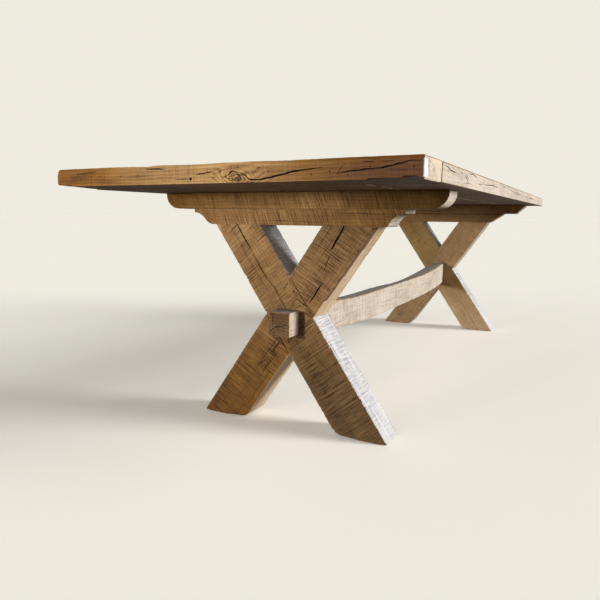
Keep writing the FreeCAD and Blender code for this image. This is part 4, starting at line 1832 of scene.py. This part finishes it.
    def make_bearer(self) -> bpy.types.Object:
        """Saw the bearer and round its lower ends."""
        low_x, high_x = self.across_x(self.beam_inner_x, self.outer_x)
        bearer = add_block(
            f"bearer_{self.end.label}_worn",
            (low_x, -self.bearer_half, self.head_top),
            (high_x, self.bearer_half, self.bearer_top),
        )

        def is_lower_end(a: Vector, b: Vector) -> bool:
            """Tell the lower edge across either end."""
            return abs(a.y - b.y) < 1.0 and abs(a.z - b.z) < 1.0 and max(a.z, b.z) < self.head_top + 1.0

        ease(bearer, is_lower_end, self.bearer_radius, 10)
        if not self.is_near:
            self._slant_end(bearer, -1, self.bearer_cut)
        edges = sharp_edges(bearer)
        refine(bearer, 3.5 if self.is_near else 5.0)

        def seat(points: np.ndarray) -> np.ndarray:
            """Keep the faces that touch the planks and the head beam."""
            top = points[:, 2] > self.bearer_top - 0.5
            bottom = (points[:, 2] < self.head_top + 0.5) & (np.abs(points[:, 1]) < self.head_half - 5.0)
            return top | bottom

        BEAM_WEATHER.wear(bearer, edges, seat)
        screw_x, screw_y = self.screw_spot
        for side in (-1, 1):
            spot = (self.end.value * screw_x, side * screw_y, self.head_top)
            rod = add_rod("screw_recess", spot, *self.screw_recess, Axis.Z, 24)
            combine_solids(bearer, rod, "DIFFERENCE")
        return bearer

    def oak(
        self, name: str, grain: Point, face: Point, heart: Point, seed: float, **extra: object
    ) -> AgedOak:
        """The finish of one trestle timber."""
        return AgedOak(name, grain=grain, face=face, heart=heart, seed=seed + 40 * self.end.value, **extra)

    def build(self, nodes: dict) -> list[bpy.types.Object]:
        """Build and dress the trestle.

        Args:
            nodes: The frame's nodes by name.

        Returns:
            Its pieces.
        """
        label = self.end.label
        voxel = 3.0 if self.is_near else 4.5
        outer_leg = self.make_leg(f"leg_{label}_outer_worn", 1, voxel)
        inner_leg = self.make_leg(f"leg_{label}_inner_worn", -1, voxel)
        self.halve(outer_leg, inner_leg)
        outer_marks, inner_marks = NEAR_MARKS if self.is_near else FAR_MARKS
        self.crack_leg(outer_leg, 1, outer_marks)
        self.crack_leg(inner_leg, 1, LegMarks((), outer_marks.seams))
        self.crack_leg(inner_leg, -1, inner_marks)
        head_beam = self.make_head_beam()
        bearer = self.make_bearer()
        dy, dz = math.cos(self.leg_angle), math.sin(self.leg_angle)
        x = self.end.value * 910
        looks = NEAR_LOOKS if self.is_near else FAR_LOOKS
        along_z, along_y = (0.0, 0.0, 1.0), (0.0, 1.0, 0.0)
        finishes = (
            (outer_leg, "leg_{}_outer", (0, dy, dz), (0, dz, -dy), (x, 0, self.crossing), 2.0, along_z),
            (inner_leg, "leg_{}_inner", (0, -dy, dz), (0, dz, dy), (x, 0, self.crossing), 5.0, along_z),
            (head_beam, "head_beam_{}", (0, 1, 0), (0, 0, 1), (x, 0, 638), 8.0, along_y),
            (bearer, "bearer_{}", (0, 1, 0), (0, 0, 1), (x, 0, 687), 13.0, along_y),
        )
        made = []
        for piece, pattern, grain, face, heart, seed, tone_axis in finishes:
            node = pattern.format(label)
            skew = self.beam_skew if tone_axis == along_y else self.leg_skew
            finish = self.oak(
                f"{node}_oak", grain, face, heart, seed, saw_skew=skew, tone_axis=tone_axis, **looks[pattern]
            )
            dress(piece, finish, [node])
            made.append(piece)
        steel = ScrewSteel().make()
        for name in (f"top_screws_{label}", f"coach_screws_{label}"):
            nodes[name].data.materials[0] = steel
        return made


SEAMS = (
    Crack(((-97, 67), (-60, 67), (-20, 67), (46, 67)), 4.2, 14),
    Crack(((-46, -67), (20, -67), (97, -67)), 3.0, 10),
)
NEAR_MARKS = (
    LegMarks(
        cracks=(
            Crack(((332, -2), (290, 2), (257, 1), (228, 2)), 5.6, 26),
            Crack(((222, 2), (197, 3), (160, 4), (130, 5), (110, 0)), 4.4, 20),
            Crack(((108, -1), (99, -6), (78, -5), (58, -7)), 3.4, 14),
            Crack(((-105, -13), (-150, -8), (-206, -25)), 1.8, 10),
        ),
        seams=SEAMS,
    ),
    LegMarks(
        cracks=(
            Crack(((326, 10), (300, 8), (264, 5), (240, 3)), 8.0, 30),
            Crack(((228, -2), (196, -9), (181, -12)), 3.6, 18),
            Crack(((150, -28), (128, -29), (100, -31), (71, -31)), 6.2, 24),
            Crack(((-84, -20), (-108, -19), (-132, -20)), 4.4, 12),
            Crack(((-165, -15), (-195, -6)), 3.0, 10),
            Crack(((-150, -31), (-175, -28), (-206, -26)), 3.4, 12),
        ),
    ),
)
FAR_MARKS = (
    LegMarks(
        cracks=(
            Crack(((300, 6), (240, 3), (150, 8)), 3.4, 20),
            Crack(((-140, -12), (-230, -6)), 2.6, 14),
        ),
        seams=SEAMS,
    ),
    LegMarks(
        cracks=(
            Crack(((310, -10), (220, -14), (160, -12)), 3.4, 20),
            Crack(((-120, 14), (-250, 10)), 2.6, 14),
        ),
    ),
)
# Painted shade: brown bands by the front arris of the near inner leg's upper arm, towards -Y, widening
# upwards, standing in for shade where the face twists back.
ARRIS_SHADE_BROWN = tint(0.20, 0.115, 0.05)
ARRIS_PAINTED_SHADE = (
    Stain((-958.5, -420.0, 400.0), (-944.0, -20.0, 640.0), 3.0, 0.95, ARRIS_SHADE_BROWN),
    Stain((-944.0, -420.0, 470.0), (-936.0, -20.0, 640.0), 3.0, 0.95, ARRIS_SHADE_BROWN),
    Stain((-936.0, -420.0, 550.0), (-928.0, -20.0, 640.0), 3.0, 0.9, ARRIS_SHADE_BROWN),
)
# Painted shadow: a dark patch on the near outer leg's face beside the peg, towards -Y, where the peg's
# shadow from the low fill light falls.
PEG_PAINTED_SHADOW = Stain((-965.0, -54.0, 280.0), (-955.0, -22.0, 362.0))
WARM = three_tones((0.155, 0.074, 0.024), (0.390, 0.212, 0.078), (0.590, 0.355, 0.152))
# A lighter copy of the warm oak for the near bearer: painted light, for the bearer stands under the top's
# overhang. Its tone stops take most of it back down.
BRIGHT = three_tones((0.19, 0.092, 0.032), (0.48, 0.268, 0.098), (0.70, 0.43, 0.185))
DRY = three_tones((0.165, 0.088, 0.036), (0.390, 0.238, 0.112), (0.590, 0.395, 0.215))
GREYED = three_tones((0.170, 0.105, 0.052), (0.410, 0.285, 0.165), (0.610, 0.460, 0.300))
# Painted highlight: a cool, nearly white tone for the outer legs' faces towards +Y and -Y, standing in for
# the window and sky light on them.
WHITE_SIDE_HIGHLIGHT = {
    "side_highlight": 0.80,
    "side_highlight_tone": tint(0.735, 0.75, 0.785),
    "side_highlight_grain": tint(0.58, 0.61, 0.68),
    "side_lines": (1.7, 1.6),
}
# Painted light: a warm cream tone for the near inner leg's faces towards +Y and -Y, standing in for light
# thrown up from the pale floor.
WARM_SIDE_BOUNCE_LIGHT = {
    "side_highlight": 0.70,
    "side_highlight_tone": tint(0.86, 0.69, 0.50),
    "side_highlight_grain": tint(0.66, 0.55, 0.44),
    "side_lines": (0.3, 2.2),
}
# Painted highlight on the near head beam's and bearer's ends towards +Y and -Y, which catch the window
# light.
PALE_END_HIGHLIGHT = {"side_highlight": 0.75, "side_highlight_tone": tint(0.90, 0.84, 0.75)}
NEAR_LOOKS = {
    "leg_{}_outer": {
        # Painted shade: the outer leg grows darker towards its foot, for the light fell from above.
        "tone_stops": (
            (0.0, 0.35, 0.0), (120.0, 0.36, 0.0), (240.0, 0.41, 0.1), (350.0, 0.60, 0.1),
            (476.0, 0.74, 0.1), (600.0, 1.0, 0.0),
        ),
        "stains": (PEG_PAINTED_SHADOW,),
        **WARM,
        **WHITE_SIDE_HIGHLIGHT,
    },
    "leg_{}_inner": {
        # Painted shade: the inner leg grows darker towards its foot, for the light fell from above; it also
        # grows darker towards its head.
        "tone_stops": (
            (0.0, 0.43, 0.9), (230.0, 0.48, 0.6), (420.0, 0.80, 0.0), (500.0, 0.68, 0.0), (600.0, 0.57, 0.0)
        ),
        "stains": ARRIS_PAINTED_SHADE,
        **WARM,
        **WARM_SIDE_BOUNCE_LIGHT,
    },
    "head_beam_{}": {
        "tone_stops": ((-340.0, 0.38, 0.4), (-150.0, 0.66, 0.4), (150.0, 0.94, 0.3), (340.0, 0.78, 0.6)),
        "sawn": 0.8,
        **WARM,
        **PALE_END_HIGHLIGHT,
    },
    "bearer_{}": {
        "tone_stops": (
            (-450.0, 0.125, 0.35), (-250.0, 0.32, 0.2), (-50.0, 0.73, -0.1), (200.0, 0.65, 0.1),
            (450.0, 0.37, 0.6),
        ),
        "sawn": 0.8,
        "gloss": 0.1,
        **BRIGHT,
        **PALE_END_HIGHLIGHT,
    },
}
FAR_LOOKS = {
    "leg_{}_outer": {
        "tone_stops": ((0.0, 1.04, 0.0), (320.0, 0.84, 1.5), (600.0, 0.60, 0.95)),
        "sawn": 0.5,
        **GREYED,
        **WHITE_SIDE_HIGHLIGHT,
    },
    "leg_{}_inner": {
        "tone_stops": ((0.0, 0.79, 0.0), (300.0, 0.88, 0.0), (600.0, 0.80, 0.2)),
        "sawn": 0.5,
        **DRY,
    },
    "head_beam_{}": {"tone_stops": ((-340.0, 0.46, 0.1), (340.0, 0.50, 0.1)), "sawn": 0.5, **WARM},
    "bearer_{}": {"tone_stops": ((-450.0, 0.46, 0.1), (450.0, 0.50, 0.1)), "sawn": 0.5, **WARM},
}


# --- The stretcher ---------------------------------------------------------------------------


@dataclass
class Stretcher:
    """The bowed timber between the trestles, with a square peg through each crossing."""

    half_length: float = 860.0
    low_y: float = -31.0
    high_y: float = 41.0
    middle_top: float = 350.0
    middle_bottom: float = 240.0
    top_straight: float = 350.0
    top_rise: float = 32.0
    near_straight: float = 150.0
    near_rise: float = 38.0
    far_straight: float = 300.0
    far_rise: float = 25.0
    peg_tip: float = 1015.0
    peg_low: Point = (-30.5, 291.0)
    peg_high: Point = (40.5, 365.0)
    peg_chamfer: float = 3.5
    peg_ease: float = 1.6
    front_round: float = 9.0
    back_round: float = 3.0
    stations: int = 14
    back_wane: tuple[tuple[float, float], ...] = (
        (-860.0, 9.0), (-240.0, 9.7), (-60.0, 11.7), (157.0, 19.5), (300.0, 15.7), (417.0, 9.7),
        (600.0, 4.6), (740.0, 3.8), (823.0, 10.0),
    )

    def _rise(self, x: float, straight: float, rise: float) -> float:
        """How far an edge has risen from its straight middle at one station."""
        share = max(0.0, (abs(x) - straight) / (self.half_length - straight))
        return rise * share * share

    def make_timber(self) -> bpy.types.Object:
        """Saw the bowed timber, with the wane along its back upper arris."""
        timber = add_block(
            "stretcher_worn",
            (-self.half_length, self.low_y, self.middle_bottom),
            (self.half_length, self.high_y, self.middle_top),
        )
        step = self.half_length / self.stations
        marks = [step * count for count in range(-self.stations, self.stations + 1)]
        slice_at(timber, Axis.X, marks[1:-1])
        places_x, wanes = zip(*self.back_wane)
        for mark in marks:
            top = self._rise(mark, self.top_straight, self.top_rise)
            if mark < 0.0:
                bottom = self._rise(mark, self.near_straight, self.near_rise)
            else:
                bottom = self._rise(mark, self.far_straight, self.far_rise)
            wane = float(np.interp(mark, places_x, wanes))
            for height, back, lift in (
                (self.middle_top, True, top - wane),
                (self.middle_top, False, top),
                (self.middle_bottom, True, bottom),
                (self.middle_bottom, False, bottom),
            ):
                spot = (mark, self.high_y if back else self.low_y, height)
                shift(timber, lambda p: stands_at(p, spot, (1.0, TOUCH, TOUCH)), (0, 0, lift))
        edges = sharp_edges(timber)

        def is_front_top(a: Vector, b: Vector) -> bool:
            """Tell the long upper edge towards -Y."""
            return abs(a.x - b.x) > 20.0 and max(a.y, b.y) < self.low_y + 1.0 and a.z > 300.0

        def is_back(a: Vector, b: Vector) -> bool:
            """Tell the long edges towards +Y."""
            return abs(a.x - b.x) > 20.0 and abs(a.y - b.y) < 1.0 and min(a.y, b.y) > 0.0

        ease(timber, is_front_top, self.front_round, 3)
        ease(timber, is_back, self.back_round, 2)
        refine(timber, 4.2)
        STRETCHER_WEATHER.wear(timber, edges, lambda points: np.abs(points[:, 0]) > self.half_length - 1.0)
        return timber

    def make_peg(self, end: End) -> bpy.types.Object:
        """Shape one peg, from inside the timber to its worn tip."""
        low_x, high_x = sorted((end.value * (self.half_length - 10), end.value * self.peg_tip))
        peg = add_block("peg", (low_x, *self.peg_low), (high_x, *self.peg_high))
        tip = end.value * self.peg_tip
        ease(peg, lambda a, b: abs(a.x - tip) < TOUCH and abs(b.x - tip) < TOUCH, self.peg_chamfer, 2)
        ease(peg, lambda a, b: abs(a.x - b.x) > 60.0, self.peg_ease, 2)
        edges = sharp_edges(peg, math.radians(25))
        refine(peg, 2.5)
        PEG_WEATHER.wear(peg, edges, lambda points: np.abs(points[:, 0]) < 955.0)
        cutter = FaceCutter((tip, 0, 328), (0, 1, 0), (0, 0, 1), (end.value, 0, 0), seed=31 + end.value)
        cutter.cut(
            peg,
            [
                Crack(((38, -24), (22, -12), (2, -5), (-26, 3)), 3.6, 14),
                Crack(((25, 31), (24, 8), (26, -10)), 2.4, 10),
            ],
        )
        return peg

    def build(self) -> bpy.types.Object:
        """Build and dress the stretcher with both pegs."""
        parts = [self.make_timber()] + [self.make_peg(end) for end in End]
        stretcher = join_solids(parts)
        oak = AgedOak(
            "stretcher_oak",
            grain=(1, 0, 0),
            face=(0, 0, 1),
            heart=(0, 0, 320),
            seed=61.0,
            sawn=0.8,
            # Painted highlight on the sides towards +Y and -Y, for the grazing window light.
            side_highlight=0.65,
            side_highlight_tone=tint(0.82, 0.77, 0.69),
            side_from=(0.80, 0.97),
            checks=0.0,
            end_tone=tint(0.28, 0.25, 0.27),
            # Painted skylight: the upper face turns cool and blue-grey.
            top_sky_tint=tint(0.59, 0.95, 2.2),
        )
        dress(stretcher, oak, ["stretcher"])
        return stretcher


# --- Studio ----------------------------------------------------------------------------------


@dataclass(frozen=True)
class Lamp:
    """One soft lamp, far away.

    Fields:
        name: Its name.
        from_side: Level direction that it stands in.
        height: Its angle above the floor, in degrees.
        strength: Its strength.
        spread: How wide it looks, in degrees.
        colour: Its colour.
    """

    name: str
    from_side: Point
    height: float
    strength: float
    spread: float
    colour: Point

    def hang(self) -> None:
        """Add the lamp to the scene."""
        data = bpy.data.lights.new(self.name, "SUN")
        data.energy = self.strength
        data.angle = math.radians(self.spread)
        data.color = tuple(self.colour)
        lamp = bpy.data.objects.new(self.name, data)
        bpy.context.scene.collection.objects.link(lamp)
        height = math.radians(self.height)
        level = Vector((*self.from_side, 0.0)).normalized()
        towards = level * math.cos(height) + Vector((0.0, 0.0, math.sin(height)))
        lamp.rotation_mode = "QUATERNION"
        lamp.rotation_quaternion = towards.to_track_quat("Z", "Y")

    def on_floor(self) -> float:
        """How brightly it lights the open floor, without the share of its disc below the horizon."""
        half, steps = self.spread / 2, 200
        total, weight = 0.0, 0.0
        for step in range(steps):
            offset = ((step + 0.5) / steps * 2.0 - 1.0) * half
            chord = math.sqrt(half * half - offset * offset)
            total += chord * math.sin(math.radians(max(0.0, self.height + offset)))
            weight += chord
        return self.strength * total / weight / math.pi


@dataclass(frozen=True)
class Studio:
    """Pale floor, soft light and the camera."""

    eye: Point = (-2.4036, -0.7875, 0.643)
    heading: float = 27.5
    pitch: float = -8.6
    roll: float = 0.5
    lens: float = 33.456
    cream: Colour = tint(0.863, 0.831, 0.745)
    window: tuple[Lamp, ...] = (
        Lamp("window_low", (0.31, -0.951), 12.0, 1.95, 18.0, (0.98, 0.985, 0.98)),
        Lamp("window_middle", (0.31, -0.951), 25.0, 1.05, 22.0, (0.98, 0.985, 0.98)),
        Lamp("window_high", (0.31, -0.951), 40.0, 0.60, 26.0, (0.98, 0.985, 0.98)),
    )
    fill: Lamp = Lamp("fill", (-0.93, 0.37), 1.6, 1.8, 5.0, (1.0, 0.98, 0.94))
    sky_strength: float = 0.72
    sky_zenith: float = 0.12
    sky_levels: Point = (0.30, 0.80)
    sky_lean: float = 0.35
    sky_colour: Point = (1.0, 0.985, 0.955)
    floor_bounce: Colour = tint(0.47, 0.42, 0.35)
    floor_glow: float = 0.20

    def set_camera(self) -> None:
        """Place the camera and make it the scene's."""
        data = bpy.data.cameras.new("camera")
        data.lens = self.lens
        data.sensor_width = 36.0
        data.clip_end = 2000.0
        camera = bpy.data.objects.new("camera", data)
        bpy.context.scene.collection.objects.link(camera)
        camera.matrix_world = (
            Matrix.Translation(self.eye)
            @ Matrix.Rotation(math.radians(self.heading - 90.0), 4, "Z")
            @ Matrix.Rotation(math.radians(90.0 + self.pitch), 4, "X")
            @ Matrix.Rotation(math.radians(self.roll), 4, "Z")
        )
        bpy.context.scene.camera = camera

    def set_world(self) -> None:
        """Light the scene softly from low all round, with the cream backdrop where the camera looks."""
        world = bpy.data.worlds.new("studio")
        world.use_nodes = True
        bpy.context.scene.world = world
        graph = Graph(world.node_tree)
        path = graph.node("ShaderNodeLightPath")
        seen = Field(graph, path.outputs["Is Camera Ray"])
        for kind in ("Is Glossy Ray", "Is Transmission Ray"):
            seen = graph.maths("MAXIMUM", seen, Field(graph, path.outputs[kind]))
        towards = graph.node("ShaderNodeTexCoord").outputs["Generated"]
        level = graph.dot(towards, (0.0, 0.0, 1.0)).ramp(*self.sky_levels, 1.0, self.sky_zenith)
        side = graph.dot(towards, (*Vector(self.fill.from_side).normalized(), 0.0)) * self.sky_lean + 1.0
        light = graph.node(
            "ShaderNodeBackground",
            None,
            {"Color": tint(*self.sky_colour), "Strength": level * side * self.sky_strength},
        )
        backdrop = graph.node("ShaderNodeBackground", None, {"Color": self.cream, "Strength": 1.0})
        both = graph.node(
            "ShaderNodeMixShader",
            None,
            {0: seen, 1: light.outputs["Background"], 2: backdrop.outputs["Background"]},
        )
        graph.node("ShaderNodeOutputWorld", None, {"Surface": both.outputs["Shader"]})

    def floor_light(self) -> list[float]:
        """How brightly the lamps and the world light the open floor, for red, green and blue."""
        low, high = self.sky_levels
        steps = 400
        sky = 0.0
        for step in range(steps):
            height = (step + 0.5) / steps
            share = min(1.0, max(0.0, (height - low) / (high - low)))
            smooth = share * share * (3.0 - 2.0 * share)
            sky += 2.0 * height / steps * (1.0 + (self.sky_zenith - 1.0) * smooth) * self.sky_strength
        lamps = (*self.window, self.fill)
        return [
            sum(lamp.on_floor() * lamp.colour[channel] for lamp in lamps) + sky * self.sky_colour[channel]
            for channel in range(3)
        ]

    def lay_floor(self) -> None:
        """Lay the plain floor out to the horizon, in a paint that renders as the backdrop's cream."""
        bpy.ops.object.select_all(action="DESELECT")
        bpy.ops.mesh.primitive_plane_add(size=900.0, location=(0.0, 0.0, 0.0))
        floor = bpy.context.object
        floor.name = "studio_floor"
        bpy.ops.object.transform_apply(location=True, rotation=True, scale=True)
        material, graph = new_material("studio_floor_paint")
        path = graph.node("ShaderNodeLightPath")
        share = 1.0 - self.floor_glow
        paint = tint(*[wanted * share / got for wanted, got in zip(self.cream, self.floor_light())])
        seen = graph.node("ShaderNodeBsdfDiffuse", None, {"Color": paint})
        glow = graph.node("ShaderNodeEmission", None, {"Color": self.cream, "Strength": self.floor_glow})
        lit = graph.node("ShaderNodeAddShader", None, {0: seen.outputs[0], 1: glow.outputs[0]})
        bounce = graph.node("ShaderNodeBsdfDiffuse", None, {"Color": self.floor_bounce})
        both = graph.node(
            "ShaderNodeMixShader",
            None,
            {0: path.outputs["Is Camera Ray"], 1: bounce.outputs[0], 2: lit.outputs[0]},
        )
        graph.node("ShaderNodeOutputMaterial", None, {"Surface": both.outputs[0]})
        floor.data.materials.append(material)

    def build(self) -> None:
        """Set the whole studio."""
        bpy.context.scene.view_settings.view_transform = "Standard"
        self.set_camera()
        for lamp in (*self.window, self.fill):
            lamp.hang()
        self.set_world()
        self.lay_floor()


def main() -> None:
    """Build the table on its frame, piece by piece."""
    logging.basicConfig(level=logging.INFO, format="%(message)s")
    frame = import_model()
    nodes = frame["nodes"]
    Studio().build()
    made = TableTop().build(nodes)
    for end in End:
        made += Trestle(end).build(nodes)
    made.append(Stretcher().build())
    LOG.info("%d pieces", len(made))


if __name__ == "__main__":
    main()
